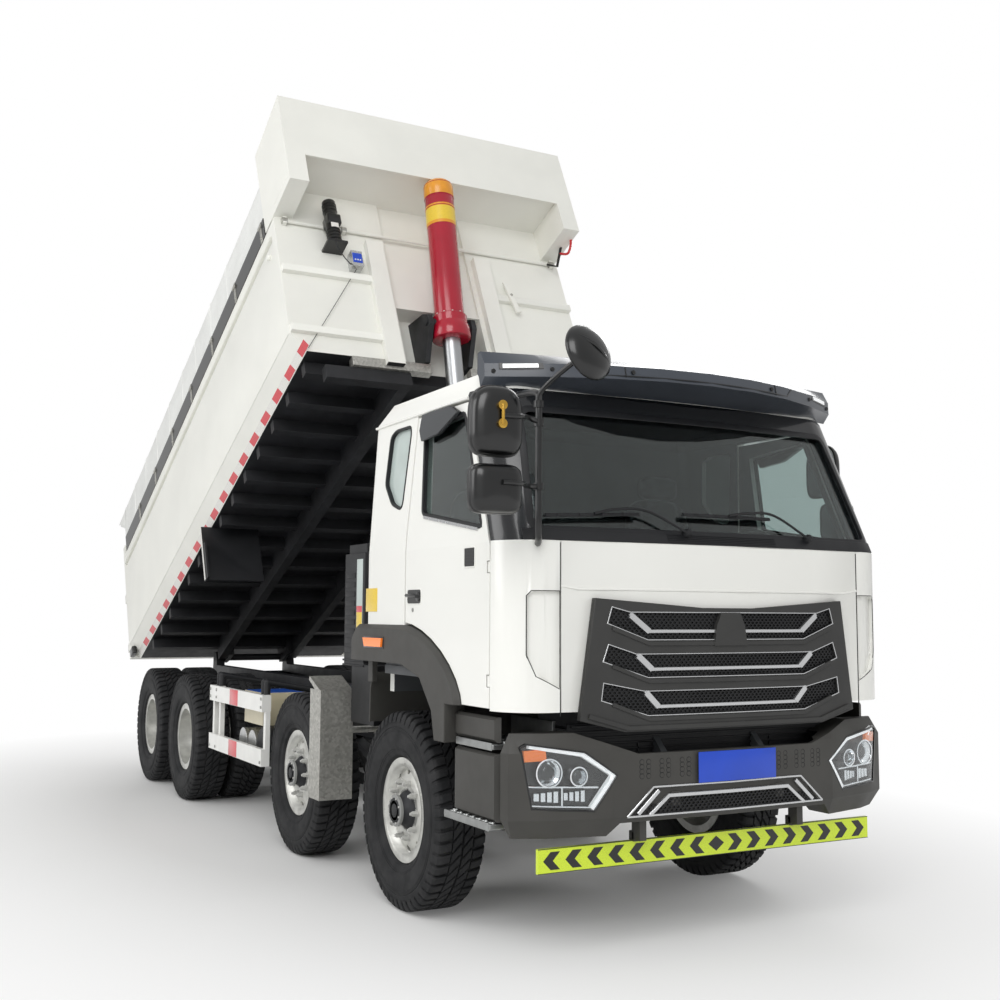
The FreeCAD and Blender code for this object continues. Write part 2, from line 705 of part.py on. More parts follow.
def screen_outline(grow):
    top = cab_eave - 90 + grow
    return [(-1090 - grow, 2060 - grow), (1090 + grow, 2060 - grow), (1010 + grow, top), (-1010 - grow, top)]


def cab_skin():
    """The cab's closed wall, without its floor."""
    return cab_body(0, cab_bottom, 0).cut(cab_body(cab_wall, cab_bottom - 10, 10))


def build_cab(skin):
    shell = skin
    floor = cab_body(cab_wall - 5, floor_bottom, 10).common(box(-2000, 2000, -2000, 2000, floor_bottom, floor_top))
    for side in (-1, 1):
        x0, x1 = sorted((side * (cab_half_width - cab_lean_in - cab_wall - 60), side * 1400))
        shell = shell.cut(prism_x(door_outline(door_gap), x0, x1))
        shell = shell.cut(prism_x(quarter_outline(0), x0, x1))
        shell = shell.cut(prism_x(arch_outline(0), x0, x1))
    shell = shell.cut(prism_y(screen_outline(0), -2000, -900))
    # seam of each corner panel, and the air slot let into the panel
    for side in (-1, 1):
        x0, x1 = sorted((side * (corner_seam_x - 3), side * (corner_seam_x + 3)))
        shell = shell.cut(box(x0, x1, -2000, -1000, cab_bottom - 10, 2000).cut(cab_body(seam_depth, cab_bottom - 10, 0)))
        slot = prism_y([(side * x, z) for x, z in corner_slot], -2000, -1000)
        shell = shell.cut(slot.cut(cab_body(slot_depth, cab_bottom - 10, 0)))
    for side in (-1, 1):
        x0, x1 = sorted((side * (cab_half_width - 110), side * 1400))
        floor = floor.cut(prism_x(door_outline(door_gap), x0, x1))
        floor = floor.cut(prism_x(arch_outline(0), x0, x1))
    arms = []
    outline = [(-35, 0), (-10, -35), (45, -20), (185, 140), (185, floor_bottom + 10 - pivot_z),
               (125, floor_bottom + 10 - pivot_z), (125, 178), (-20, 35)]
    for side in (-1, 1):
        x = side * pivot_arm_x
        arms.append(prism_x([(pivot_y + y, pivot_z + z) for y, z in outline], x - 18, x + 18))
        arms.append(rod((x, pivot_y, pivot_z), (side * (rail_mid_x + 40), pivot_y, pivot_z), 25))
    bunk = box(-1100, 1100, 60, 340, floor_top - 5, 1850)
    hinges = []
    for side in (-1, 1):
        x = side * (cab_half_width - door_hinge_inset)
        y = door_front + door_hinge_inset
        for z in door_hinge_levels:
            hinges.append(rod((x, y, z - 25), (x, y, z + 25), door_hinge_inset - 0.5))
            hinges.append(box(x - 8, x + 8, door_front - door_gap - 6, y, z - 25, z + 25))
    whole = fuse([shell, floor, bunk] + hinges + arms)
    for side in (-1, 1):
        x = side * (cab_half_width - door_hinge_inset)
        y = door_front + door_hinge_inset
        for z in door_hinge_levels:
            whole = whole.cut(rod((x, y, z - 30), (x, y, z + 30), door_pin_radius + running_gap))
    return whole


def build_door(skin, side):
    x0, x1 = sorted((side * (cab_half_width - cab_lean_in - cab_wall - 60), side * 1400))
    door = skin.common(prism_x(door_outline(0, door_edge_drop), x0, x1))
    door = door.cut(prism_x(arch_outline(door_gap), x0, x1))
    door = door.cut(prism_x(window_outline(0), x0, x1))
    x = side * (cab_half_width - door_hinge_inset)
    y = door_front + door_hinge_inset
    for z in door_hinge_levels:
        door = door.cut(rod((x, y, z - 31), (x, y, z + 31), 18.5))
        door = door.fuse(rod((x, y, z - 50), (x, y, z + 50), door_pin_radius))
    return door


def glass_skin():
    return cab_body(20, cab_bottom, 5).cut(cab_body(20 + glass_wall, cab_bottom - 10, 8))


def build_door_glass(pane, side):
    x0, x1 = sorted((side * 1000, side * 1400))
    return pane.common(prism_x(window_outline(0), x0, x1))


def build_cab_glass(pane):
    shapes = [pane.common(prism_y(screen_outline(0), -2000, -900))]
    for side in (-1, 1):
        x0, x1 = sorted((side * 1000, side * 1400))
        shapes.append(pane.common(prism_x(quarter_outline(0), x0, x1)))
    return shapes


def build_flares():
    """Arch flare of each front wheel with a block behind it, and the black liner walls inside the arch."""
    edge = 1248 - flare_round
    rims = [Part.makePolygon([V(x, y, z) for y, z in points + points[:1]])
            for x, points in ((edge, arch_outline(0)), (1248, arch_outline(-flare_round)))]
    outer = fuse([prism_x(arch_outline(0), 1130, edge), Part.makeLoft(rims, True, True)])
    low = flare_low
    tunnel = [(-640, 990), (-600, 1150), (-450, 1310), (-200, low), (600, low), (600, 900), (-640, 900)]
    flare = outer.cut(prism_x(tunnel, 1100, 1300))
    flare = flare.cut(box(1100, 1300, -900, -760, 900, 1195))
    top_z = floor_bottom - slide_gap
    front = [(-660, 1000), (-652, 1120), (-600, 1230), (-520, top_z), (-540, top_z), (-618, 1236), (-672, 1122),
             (-680, 1000)]
    rear = [(520, 1000), (512, 1200), (470, top_z), (484, top_z), (525, 1204), (533, 1000)]
    liners = [prism_x(front, 640, 1132), prism_x(rear, 640, 1128)]
    hanger = box(1100, 1134, 470, 540, 1240, low + 5)
    whole = fuse([flare, liners[0]])
    return both_sides(whole) + both_sides(fuse([liners[1], hanger]))


def tier(points):
    """A symmetrical outline from its right half, given from the top middle round to the bottom middle."""
    return points + [(-x, z) for x, z in points[::-1]]


def build_grille():
    """Dark frame with three mesh tiers let into it, each turned up at its ends."""
    outline = tier([(165, 1688), (790, 1732), (873, 1150), (630, 1090)])
    body = cab_body(-grille_depth, 1070, 0).common(prism_y(outline, -2000, -1200))
    body = body.cut(cab_body(-slide_gap, 1000, 0))
    tiers = [[(600, 1665), (700, 1690), (725, 1610), (500, 1530)],
             [(565, 1462), (720, 1510), (750, 1427), (500, 1348)],
             [(520, 1283), (748, 1326), (760, 1242), (500, 1165)]]
    for points in tiers:
        body = body.cut(prism_y(tier(points), -2000, -1200).cut(cab_body(-tier_floor, 1000, 0)))
    return body


def build_visor():
    """Peak over the screen, swept back towards its ends."""
    rises = [(-1135, 20), (-1390, 70), (-1370, 140), (-1120, 210), (-960, 205), (visor_back, 100), (-1040, 78)]
    sections = []
    for i in range(-4, 5):
        share = 1 - visor_sweep * (i / 4) ** 2
        points = [V(visor_half * i / 4, visor_back + (y - visor_back) * share, cab_eave + rise) for y, rise in rises]
        sections.append(Part.makePolygon(points + points[:1]))
    body = Part.makeLoft(sections, True, True)
    body = body.cut(cab_body(-slide_gap, cab_bottom, 0))
    return max(body.Solids, key=lambda solid: solid.Volume)


def build_mirrors():
    """Right-hand mirrors on poles ahead of the screen's corner, with the round one on the peak."""
    x = -1120
    low = -mirror_reach
    high = low + mirror_width
    out = (low + high) / 2
    parts = [rod((x, -1490, 1975), (x, -1490, cab_eave - 60), 17)]
    parts.append(rod((x, -1490, 1990), (-1060, -1370, 1970), 17))
    parts.append(rod((x, -1490, cab_eave - 70), (-1060, -960, cab_eave - 45), 17))
    parts.append(rod((x, -1490, 2560), (out, -1560, 2530), 13))
    parts.append(rod((x, -1490, 2240), (out, -1560, 2220), 13))
    parts.append(box(low, high, -1650, -1560, 2360, 2690))
    parts.append(box(low, high, -1650, -1560, 2100, 2330))
    disc_z = cab_eave + 60
    parts.append(rod((x, -1490, cab_eave - 80), (-1030, -1760, disc_z), 13))
    parts.append(rod((-1030, mirror_front, disc_z), (-1030, mirror_front + 90, disc_z), 135))
    mirror_set = fuse(parts).cut(cab_body(-slide_gap, cab_bottom, 0))
    return max(mirror_set.Solids, key=lambda solid: solid.Volume)


def build_folded_mirror():
    """Left-hand mirrors, folded back along the door that carries their pole."""
    low = (1250, -1125, 2045)
    high = (1230, -835, door_top - 25)
    parts = [rod(low, high, 14)]
    parts.append(rod((low[0], low[1], low[2] + 7), (1170, low[1], low[2] + 7), 12))
    parts.append(rod((high[0], high[1] - 5, high[2] - 10), (1120, high[1] - 5, high[2] - 10), 12))
    parts.append(box(folded_reach - folded_depth, folded_reach, -1005, -1005 + mirror_width, 2360, 2690))
    parts.append(box(folded_reach - folded_depth, folded_reach, -1115, -1115 + mirror_width, 2100, 2330))
    mirror_set = fuse(parts).cut(cab_body(-slide_gap, cab_bottom, 0))
    return max(mirror_set.Solids, key=lambda solid: solid.Volume)


def build_seats():
    shapes = []
    for side in (-1, 1):
        x = side * 620
        base = box(x - 200, x + 200, -520, -120, floor_top + slide_gap, 1620)
        cushion = box(x - 250, x + 250, -620, -60, 1600, 1760)
        back = prism_x([(-120, 1740), (10, 1740), (30, 2420), (-70, 2420)], x - 240, x + 240)
        shapes.append(fuse([base, cushion, back]))
    return shapes


def build_dashboard():
    profile = [(-1395, 1360), (-1180, 1360), (-1080, 1700), (-1080, 1960), (-1180, 2010), (-1330, 2010), (-1395, 1900)]
    dash = prism_x(profile, -1010, 1010)
    axis = V(*column_axis).normalize()
    end = V(*steering_centre) - axis * (14 + slide_gap)
    column = rod(end - axis * 260, end, 40)
    legs = box(-1000, 1000, -1390, -1200, floor_top + slide_gap, 1380)
    return fuse([dash, column, legs]).common(cab_body(cab_wall + slide_gap, cab_bottom, 10))


def build_steering_wheel():
    centre = V(*steering_centre)
    axis = V(*column_axis).normalize()
    ring = Part.makeTorus(215, 16, centre, axis)
    hub = Part.makeCylinder(45, 30, centre - axis * 14, axis)
    spokes = [rod(centre, centre + V(side * 213, 0, 0), 13) for side in (-1, 1)]
    return fuse([ring, hub] + spokes)


# ---- tipping body ---------------------------------------------------------------------------------------------
def build_bed_shell():
    w = bed_half_width
    inner = w - bed_wall
    outer_half = [(w - 110, 0), (w, bed_chamfer), (w, bed_side_height)]
    inner_half = [(inner, bed_side_height + 10), (inner, bed_chamfer + 40), (inner - 120, bed_floor)]
    outline = [(-x, h) for x, h in outer_half[::-1]] + outer_half
    outer = bed_profile(outline, bed_rear, bed_front)
    hollow = [(-x, h) for x, h in inner_half] + inner_half[::-1]
    inner_body = bed_profile(hollow, bed_rear - 10, bed_front - bed_wall)
    shell = outer.cut(inner_body)
    # long recess under the top rail on each side
    for side in (-1, 1):
        x0, x1 = sorted((side * (w - 25), side * (w + 10)))
        shell = shell.cut(bed_box(x0, x1, bed_rear - 10, bed_front - 90, 1060, 1120))
    parts = [shell, bed_box(-w + hood_wall, w - hood_wall, bed_front - bed_wall, bed_front, bed_side_height - 30,
                            hood_under + 5)]
    for side in (-1, 1):
        x0, x1 = sorted((side * 400, side * 540))
        parts.append(bed_box(x0, x1, bed_front - 5, bed_front + 60, -60, 1100))
        x0, x1 = sorted((side * 540, side * (w - 5)))
        for h in (150, 700):
            parts.append(bed_box(x0, x1, bed_front - 5, bed_front + 40, h, h + 60))
        # ears for the tailgate's pins
        pin_x = w - gate_side_gap - 60
        x0, x1 = sorted((side * (pin_x - 32), side * (pin_x + 32)))
        parts.append(bed_box(x0, x1, bed_rear + 5, -180, bed_side_height - 30, bed_side_height + 5))
        for x in (pin_x - 32, pin_x + 20):
            x0, x1 = sorted((side * x, side * (x + 12)))
            parts.append(bed_prism([(bed_rear + 5, bed_side_height - 30), (-180, bed_side_height - 30), (-200, 1330),
                                    (gate_hinge_s + 30, gate_hinge_h + 30), (gate_hinge_s - 30, gate_hinge_h + 30),
                                    (gate_hinge_s - 30, gate_hinge_h - 40), (bed_rear + 5, gate_hinge_h - 80)],
                                   x0, x1))
    whole = fuse(parts + build_hood())
    # middle of the front wall set back for the hoist, and set back further where its foot swings
    whole = whole.cut(bed_box(-recess_half, recess_half, bed_front - 30, bed_front + 10, 60, hood_under - 1))
    whole = whole.cut(bed_box(-recess_half, recess_half, recess_back, bed_front + 10, -10, recess_top))
    housing = bed_box(-recess_half - 12, recess_half + 12, recess_back - 12, bed_front - 5, 0, recess_top + 12)
    housing = housing.cut(bed_box(-recess_half, recess_half, recess_back, bed_front, -10, recess_top))
    whole = fuse([whole, housing])
    pin_y = bed_hinge_y - gate_hinge_s
    pin_z = floor_z + gate_hinge_h
    return whole.cut(rod((-w, pin_y, pin_z), (w, pin_y, pin_z), gate_pin_radius + running_gap))


def build_hood():
    """Canopy over the hoist, open towards the load space, with a hollow leg on each side."""
    w = bed_half_width
    back = bed_front - 200
    base = bed_side_height + 20
    side_points = [(back, base), (bed_front + 20, base), (hood_front, hood_leg_bottom), (hood_front, hood_top),
                   (back, hood_top - 40)]
    parts = both_sides(bed_prism(side_points, w - hood_wall, w))
    leg_in = w - hood_leg_width
    for side in (-1, 1):
        x0, x1 = sorted((side * leg_in, side * w))
        leg = bed_box(x0, x1, bed_front - 5, hood_front, hood_leg_bottom, hood_under + 20)
        x0, x1 = sorted((side * (leg_in + hood_wall), side * (w - hood_wall)))
        parts.append(leg.cut(bed_box(x0, x1, bed_front + 1, hood_front - hood_wall, hood_leg_bottom + hood_wall,
                                     hood_under + 30)))
    parts.append(bed_box(-w, w, hood_front - hood_wall, hood_front, hood_under - 30, hood_top))
    parts.append(bed_box(-leg_in - 2, leg_in + 2, bed_front - 5, hood_front, hood_under, hood_under + hood_wall))
    parts.append(bed_prism([(back, hood_top - 40), (hood_front, hood_top), (hood_front, hood_top - hood_wall),
                            (back, hood_top - 40 - hood_wall)], -w, w))
    return parts


def build_bed_frame():
    parts = []
    for side in (-1, 1):
        x0, x1 = sorted((side * rail_inner_x, side * rail_outer_x))
        parts.append(bed_box(x0, x1, 120, bed_front - 60, -bed_beam_height, -slide_gap))
    count = 14
    for i in range(count):
        s = 150 + i * (bed_front - 350) / (count - 1)
        parts.append(bed_box(-1120, 1120, s, s + 70, -bed_cross_height, -slide_gap))
    for side in (-1, 1):
        x0, x1 = sorted((side * (recess_half - 25), side * 1010))
        parts.append(bed_box(x0, x1, bed_front - 90, bed_front - 10, -bed_beam_height, -bed_cross_height + 10))
    # hinge arms reach back from the beams to the pin, between the frame's ears
    for side in (-1, 1):
        x = side * (rail_inner_x - 30)
        arm = bed_prism([(-40, -bed_floor_rise - 45), (40, -bed_floor_rise - 60), (260, -bed_beam_height),
                         (260, -slide_gap), (-40, -slide_gap)], x - 22, x + 22)
        parts.append(arm)
        x0, x1 = sorted((x, side * (rail_inner_x + 50)))
        parts.append(bed_box(x0, x1, 200, 260, -bed_beam_height, -slide_gap))
    parts.append(rod((-rail_outer_x, bed_hinge_y, bed_hinge_z), (rail_outer_x, bed_hinge_y, bed_hinge_z),
                     hinge_pin_radius))
    return fuse(parts)


def build_cradle():
    """Cast brackets on the front wall that hold the hoist's trunnion pins."""
    parts = []
    for side in (-1, 1):
        x0, x1 = sorted((side * 160, side * 200))
        back = recess_back + slide_gap
        bracket = bed_prism([(back, 40), (back, recess_top - 30), (trunnion_s - 40, 400),
                             (trunnion_s + 45, trunnion_h + 40), (trunnion_s + 45, trunnion_h - 45),
                             (bed_front, 20)], x0, x1)
        hole = rod((-300, bed_hinge_y - trunnion_s, floor_z + trunnion_h),
                   (300, bed_hinge_y - trunnion_s, floor_z + trunnion_h), 30 + running_gap)
        parts.append(bracket.cut(hole))
    return parts


def tarp_half():
    """Half section of the cover over its bows, as (x, h) points from the rail to the crown."""
    w = bed_half_width - 15
    return [(w, tarp_rail_top + slide_gap), (w - 15, 1780), (w - 60, 1880), (w - 180, 1945), (w - 420, tarp_height)]


def build_tarp():
    outer = tarp_half()
    inner = [(x - tarp_wall, h - tarp_wall) for x, h in outer]
    inner[0] = (outer[0][0] - tarp_wall, outer[0][1])
    ring = [(-x, h) for x, h in outer] + outer[::-1] + inner + [(-x, h) for x, h in inner[::-1]]
    cover = bed_profile(ring, bed_rear, bed_front - 210)
    # the rear end leans out over the tailgate
    w = outer[0][0]
    slopes = [(-x, h) for x, h in outer[1:]] + outer[:0:-1] + inner[1:] + [(-x, h) for x, h in inner[:0:-1]]
    rear = bed_profile(slopes, tarp_rear, bed_rear + 1)
    rear = rear.cut(bed_prism([(bed_rear - 10, 1540), (tarp_rear - 10, 1930), (tarp_rear - 10, 1500)], -1300, 1300))
    cheeks = []
    for side in (-1, 1):
        x0, x1 = sorted((side * (w - tarp_wall), side * w))
        cheeks.append(bed_prism([(bed_rear - 1, 1560), (bed_rear + 10, 1560), (bed_rear + 10, 1780), (-720, 1800)],
                                x0, x1))
    return fuse([cover, rear] + cheeks)


def build_tarp_gear():
    shapes = []
    w = bed_half_width
    for side in (-1, 1):
        x0, x1 = sorted((side * (w - 50), side * (w + 5)))
        shapes.append(bed_box(x0, x1, bed_rear + 130, bed_front - 205, bed_side_height + slide_gap, tarp_rail_top))
    shaft_s = bed_front + shaft_stand_off
    y = bed_hinge_y - shaft_s
    gear = [rod((-w + 60, y, floor_z + 1190), (w - 60, y, floor_z + 1190), 14)]
    face = bed_front + slide_gap
    for x in (-w + 75, -700, w - 75):
        gear.append(bed_box(x - 15, x + 15, face, shaft_s + 20, 1160, 1220))
    gear.append(bed_box(-900, -740, face, bed_front + 150, 950, 970))
    gear.append(rod((-820, bed_hinge_y - bed_front - 90, floor_z + 965),
                    (-820, bed_hinge_y - bed_front - 90, floor_z + 1380), 52))
    shapes.append(fuse(gear))
    shapes.append(bed_box(-700, -610, face, bed_front + 90, 800, 940))
    return shapes


def build_bed_flaps():
    flap = bed_box(720, 1235, 2660, 2680, -520, -slide_gap)
    lip = bed_box(1215, 1235, 2640, 2740, -520, -180)
    arm = bed_box(700, 760, 2620, 2700, -bed_cross_height, -slide_gap)
    return both_sides(fuse([flap, lip]))


def build_tailgate():
    w = bed_half_width - gate_side_gap
    outer = gate_outer
    gate = bed_box(-w, w, outer - gate_wall, outer, 20, gate_hinge_h - 90)
    ribs = []
    for x in (-1080, -540, 0, 540, 1080):
        rib = bed_prism([(outer - gate_wall + 5, 60), (outer - gate_wall - 60, 120), (outer - gate_wall - 110, 800),
                         (outer - gate_wall - 20, 1250), (outer - gate_wall + 5, 1300)], x - 45, x + 45)
        ribs.append(rib)
    for h in (120, 700):
        ribs.append(bed_box(-w, w, outer - gate_wall - 55, outer - gate_wall + 5, h, h + 90))
    arms = []
    for side in (-1, 1):
        x = side * (w - 60)
        arms.append(bed_prism([(outer, 1300), (outer - gate_wall, 1300), (gate_hinge_s - 30, gate_hinge_h + 30),
                               (gate_hinge_s + 30, gate_hinge_h + 30), (gate_hinge_s + 30, gate_hinge_h - 40)],
                              x - 15, x + 15))
        y = bed_hinge_y - gate_hinge_s
        z = floor_z + gate_hinge_h
        arms.append(rod((x - 36, y, z), (x + 36, y, z), gate_pin_radius))
    return fuse([gate] + ribs + arms)


# ---- hoist ---------------------------------------------------------------------------------------------------
def hoist_line():
    """Trunnion and foot in the raised pose, and the unit vector from one to the other."""
    a = math.radians(bed_tilt)
    rise = trunnion_h + bed_floor_rise
    top = V(0, bed_hinge_y - trunnion_s * math.cos(a) + rise * math.sin(a),
            bed_hinge_z + trunnion_s * math.sin(a) + rise * math.cos(a))
    foot = V(0, foot_y, foot_z)
    down = foot - top
    return top, foot, down.normalize()


def lowered_length():
    return math.hypot(bed_hinge_y - trunnion_s - foot_y, floor_z + trunnion_h - foot_z)


def turned_on(line, points):
    """A solid of revolution about the hoist's line from (distance, radius) points."""
    top, foot, down = line
    out = down.cross(V(1, 0, 0))
    outline = face_of([tuple(top + down * d + out * r) for d, r in points])
    return outline.revolve(top, down, 360)


def build_hoist():
    line = hoist_line()
    full = (line[1] - line[0]).Length
    share = (full - lowered_length()) / len(stage_radii)
    bore = stage_radii[0] + slide_gap
    collar = hoist_radius + 18
    cap = -hoist_above
    tube = [turned_on(line, [(cap, 0), (cap, hoist_radius - 20), (cap + 15, hoist_radius), (-55, hoist_radius),
                             (-55, collar), (hoist_below, collar), (hoist_below, bore), (cap + 50, bore),
                             (cap + 50, 0)])]
    for side in (-1, 1):
        a = line[0] + V(side * (hoist_radius - 10), 0, 0)
        tube.append(Part.makeCylinder(30, 105, a, V(side, 0, 0)))
    stages = []
    for i, radius in enumerate(stage_radii):
        shift = share * (i + 1)
        start = cap + 60 + 30 * i + shift
        end = hoist_below + stage_step * (i + 1) + shift
        if i + 1 < len(stage_radii):
            inside = stage_radii[i + 1] + slide_gap
            points = [(start, inside), (start, radius), (end, radius), (end, inside)]
        else:
            points = [(start, 0), (start, radius), (full - 45, radius), (full - 45, 0)]
        stages.append([turned_on(line, points)])
    stages[-1].append(rod((-68, foot_y, foot_z), (68, foot_y, foot_z), 55))
    return fuse(tube), [fuse(s) for s in stages]


# ---- make everything ---------------------------------------------------------------------------------------
def build():
    os.makedirs("parts", exist_ok=True)
    save("frame_rails", [build_frame()])
    save("leaf_springs", build_springs())
    save("front_axles", [front_beam(axle_y[0]), front_beam(axle_y[1])])
    save("rear_axles", [rear_axle(axle_y[2]), rear_axle(axle_y[3])])
    save("drive_shafts", build_shafts())
    save("engine_block", [build_engine()])
    save("tanks", build_tanks())
    save("side_guards", build_side_guards())
    save("mudguards", build_mudguards())
    save("intake_column", [build_intake()])
    save("bumper", [build_bumper()])
    save("underrun_board", [build_board()])
    save("headlamps", build_headlamps())
    save("cab_steps", build_steps())
    skin = cab_skin()
    pane = glass_skin()
    save("cab_shell", [build_cab(skin)])
    save("cab_glass", build_cab_glass(pane))
    save("grille", [build_grille()])
    save("wheel_arch_flares", build_flares())
    save("visor", [build_visor()])
    save("mirrors", [build_mirrors()])
    save("mirror_left", [build_folded_mirror()])
    save("seats", build_seats())
    save("dashboard", [build_dashboard()])
    save("steering_wheel", [build_steering_wheel()])
    for name, side in (("left", 1), ("right", -1)):
        save("door_" + name, [build_door(skin, side)])
        save("door_glass_" + name, [build_door_glass(pane, side)])
    save("bed_shell", [raised(build_bed_shell())])
    save("bed_frame", [raised(build_bed_frame())])
    save("hoist_cradle", [raised(s) for s in build_cradle()])
    save("tarp", [raised(build_tarp())])
    save("tarp_gear", [raised(s) for s in build_tarp_gear()])
    save("bed_flaps", [raised(s) for s in build_bed_flaps()])
    save("tailgate", [raised(build_tailgate())])
    tube, stages = build_hoist()
    save("hoist_tube", [tube])
    for i, stage in enumerate(stages):
        save("hoist_stage_%d" % (i + 1), [stage])
    for axle in (1, 2, 3, 4):
        y = axle_y[axle - 1]
        for name in ("left", "right"):
            turn = mirror if name == "right" else (lambda shape: shape)
            if axle <= 2:
                save("knuckle_%d_%s" % (axle, name), [turn(knuckle(y))])
                save("wheel_%d_%s" % (axle, name), [turn(front_wheel(y))])
                save("tyre_%d_%s" % (axle, name), [turn(tyre(front_track / 2, y))])
            else:
                save("wheel_%d_%s" % (axle, name), [turn(rear_wheel(y))])
                half = twin_spacing / 2
                pair = [tyre(rear_track / 2 + half, y), tyre(rear_track / 2 - half, y)]
                save("tyre_%d_%s" % (axle, name), [turn(t) for t in pair])


if __name__ == "__main__":
    build()
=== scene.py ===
"""Looks of an eight-wheel rear tipper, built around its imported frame. All lengths are metres."""

import json
import math

import bmesh
import bpy
import numpy as np
from bpy.props import FloatProperty, FloatVectorProperty, IntProperty, PointerProperty
from mathutils import Matrix, Vector

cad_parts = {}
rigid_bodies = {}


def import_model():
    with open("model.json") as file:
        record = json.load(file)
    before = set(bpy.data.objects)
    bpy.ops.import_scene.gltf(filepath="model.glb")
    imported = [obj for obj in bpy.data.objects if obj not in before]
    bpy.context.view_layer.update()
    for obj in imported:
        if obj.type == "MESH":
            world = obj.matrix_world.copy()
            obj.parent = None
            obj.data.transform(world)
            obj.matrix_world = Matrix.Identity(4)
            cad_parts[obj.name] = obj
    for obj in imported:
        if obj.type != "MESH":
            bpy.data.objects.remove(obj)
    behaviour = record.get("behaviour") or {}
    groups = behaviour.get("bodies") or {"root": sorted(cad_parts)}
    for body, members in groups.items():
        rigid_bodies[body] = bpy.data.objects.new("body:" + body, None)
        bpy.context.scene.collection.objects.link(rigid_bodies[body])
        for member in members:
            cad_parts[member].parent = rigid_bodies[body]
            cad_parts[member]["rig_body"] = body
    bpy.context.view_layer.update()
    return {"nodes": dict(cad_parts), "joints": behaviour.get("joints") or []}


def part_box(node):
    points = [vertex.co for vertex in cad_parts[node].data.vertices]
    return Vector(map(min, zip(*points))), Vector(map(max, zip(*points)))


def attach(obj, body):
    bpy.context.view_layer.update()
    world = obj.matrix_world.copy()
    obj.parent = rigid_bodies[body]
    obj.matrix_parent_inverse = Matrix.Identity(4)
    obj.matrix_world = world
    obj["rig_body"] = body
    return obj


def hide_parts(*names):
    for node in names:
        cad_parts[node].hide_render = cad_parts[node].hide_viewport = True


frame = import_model()

bl_info = {
    "name": "Tipper truck dressing",
    "version": (1, 0, 0),
    "blender": (4, 5, 0),
    "location": "3D View > Sidebar > Tipper",
    "description": "Builds the finished surfaces of an eight-wheel tipper around its frame",
    "category": "Object",
}

# ---- places read from the frame ------------------------------------------------------------------
JOINTS = {joint["name"]: joint for joint in frame["joints"]}
AXLE_Y = [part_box("tyre_%d_left" % axle)[0].y / 2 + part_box("tyre_%d_left" % axle)[1].y / 2
          for axle in (1, 2, 3, 4)]
NOSE = AXLE_Y[0]
HUB_Z = JOINTS["roll_left_1"]["pos_m"][2]
HINGE = JOINTS["bed_lift"]["pos_m"]
MID = HINGE[0]
TILT = math.radians(-JOINTS["bed_lift"]["range_deg"][0])
HOIST_TOP = np.array(JOINTS["hoist_swing"]["pos_m"])
HOIST_DOWN = np.array(JOINTS["hoist_slide_1"]["axis"])
SIDES = (("left", 1), ("right", -1))


def linear(hex_colour, alpha=1.0):
    """An sRGB hex colour as linear light."""
    parts = [int(hex_colour[i:i + 2], 16) / 255 for i in (0, 2, 4)]
    return tuple(c / 12.92 if c <= 0.04045 else ((c + 0.055) / 1.055) ** 2.4 for c in parts) + (alpha,)


# ---- sizes and colours that a user may change ----------------------------------------------------
def length(label, about, default):
    return FloatProperty(name=label, description=about, default=default, subtype="DISTANCE", unit="LENGTH")


def colour(label, about, hex_colour):
    return FloatVectorProperty(name=label, description=about, default=linear(hex_colour), size=4,
                               subtype="COLOR", min=0, max=1)


class TipperSizes(bpy.types.PropertyGroup):
    """Sizes of the dressed pieces."""

    tyre_radius: length("Tyre radius", "From the hub to the tips of the lugs", HUB_Z)
    tyre_width: length("Tyre width", "Width over the sidewalls", 0.3)
    groove: length("Groove depth", "Depth of the tread grooves", 0.017)
    lugs: IntProperty(name="Lugs", description="Tread blocks round a tyre", default=52)
    bed_rise: length("Floor rise", "From the body's hinge up to the underside of its floor", 0.13)
    bed_half: length("Body half width", "From the middle of the body to its outer skin", 1.25)
    bed_front: length("Body front", "From the body's hinge to its front wall", 5.36)
    bed_side: length("Side height", "From the floor's underside to the top of the side", 1.22)
    clip_pitch: length("Clip pitch", "Between the clips of the cover's rail", 0.75)
    nut_circle: length("Nut circle", "Radius of the circle of wheel nuts", 0.1675)
    mesh_cell: length("Mesh cell", "Width of a cell of the grille's mesh", 0.026)
    lens: FloatProperty(name="Lens", description="Camera's focal length in millimetres", default=43.19)


class TipperColours(bpy.types.PropertyGroup):
    """Base colours of the finishes."""

    cab: colour("Cab enamel", "Gloss white of the cab", "F1F1EC")
    body: colour("Body enamel", "Semi-gloss white of the tipping body", "EFEFE8")
    plastic: colour("Moulded plastic", "Dark warm grey of the bumper and arches", "403F3C")
    grille: colour("Grille plastic", "Dark grey of the grille", "343433")
    visor: colour("Visor", "Blue grey of the sun visor", "3E434B")
    liner: colour("Trim plastic", "Dark grey of the cab's inside", "595C5F")
    chassis: colour("Chassis paint", "Satin black of the frame", "17181B")
    hoist: colour("Hoist enamel", "Red of the hoist's outer tube", "A8152C")
    hoist_band: colour("Hoist band", "Orange yellow of its cap and band", "E69A26")
    cover: colour("Cover cloth", "White of the sliding cover", "E6E7E4")
    board: colour("Board", "Yellow green of the warning board", "D9F02E")
    plate: colour("Plate", "Blue of the blank plate", "0A46C8")


def sizes():
    return bpy.context.scene.tipper_sizes


def tint(name):
    return tuple(getattr(bpy.context.scene.tipper_colours, name))


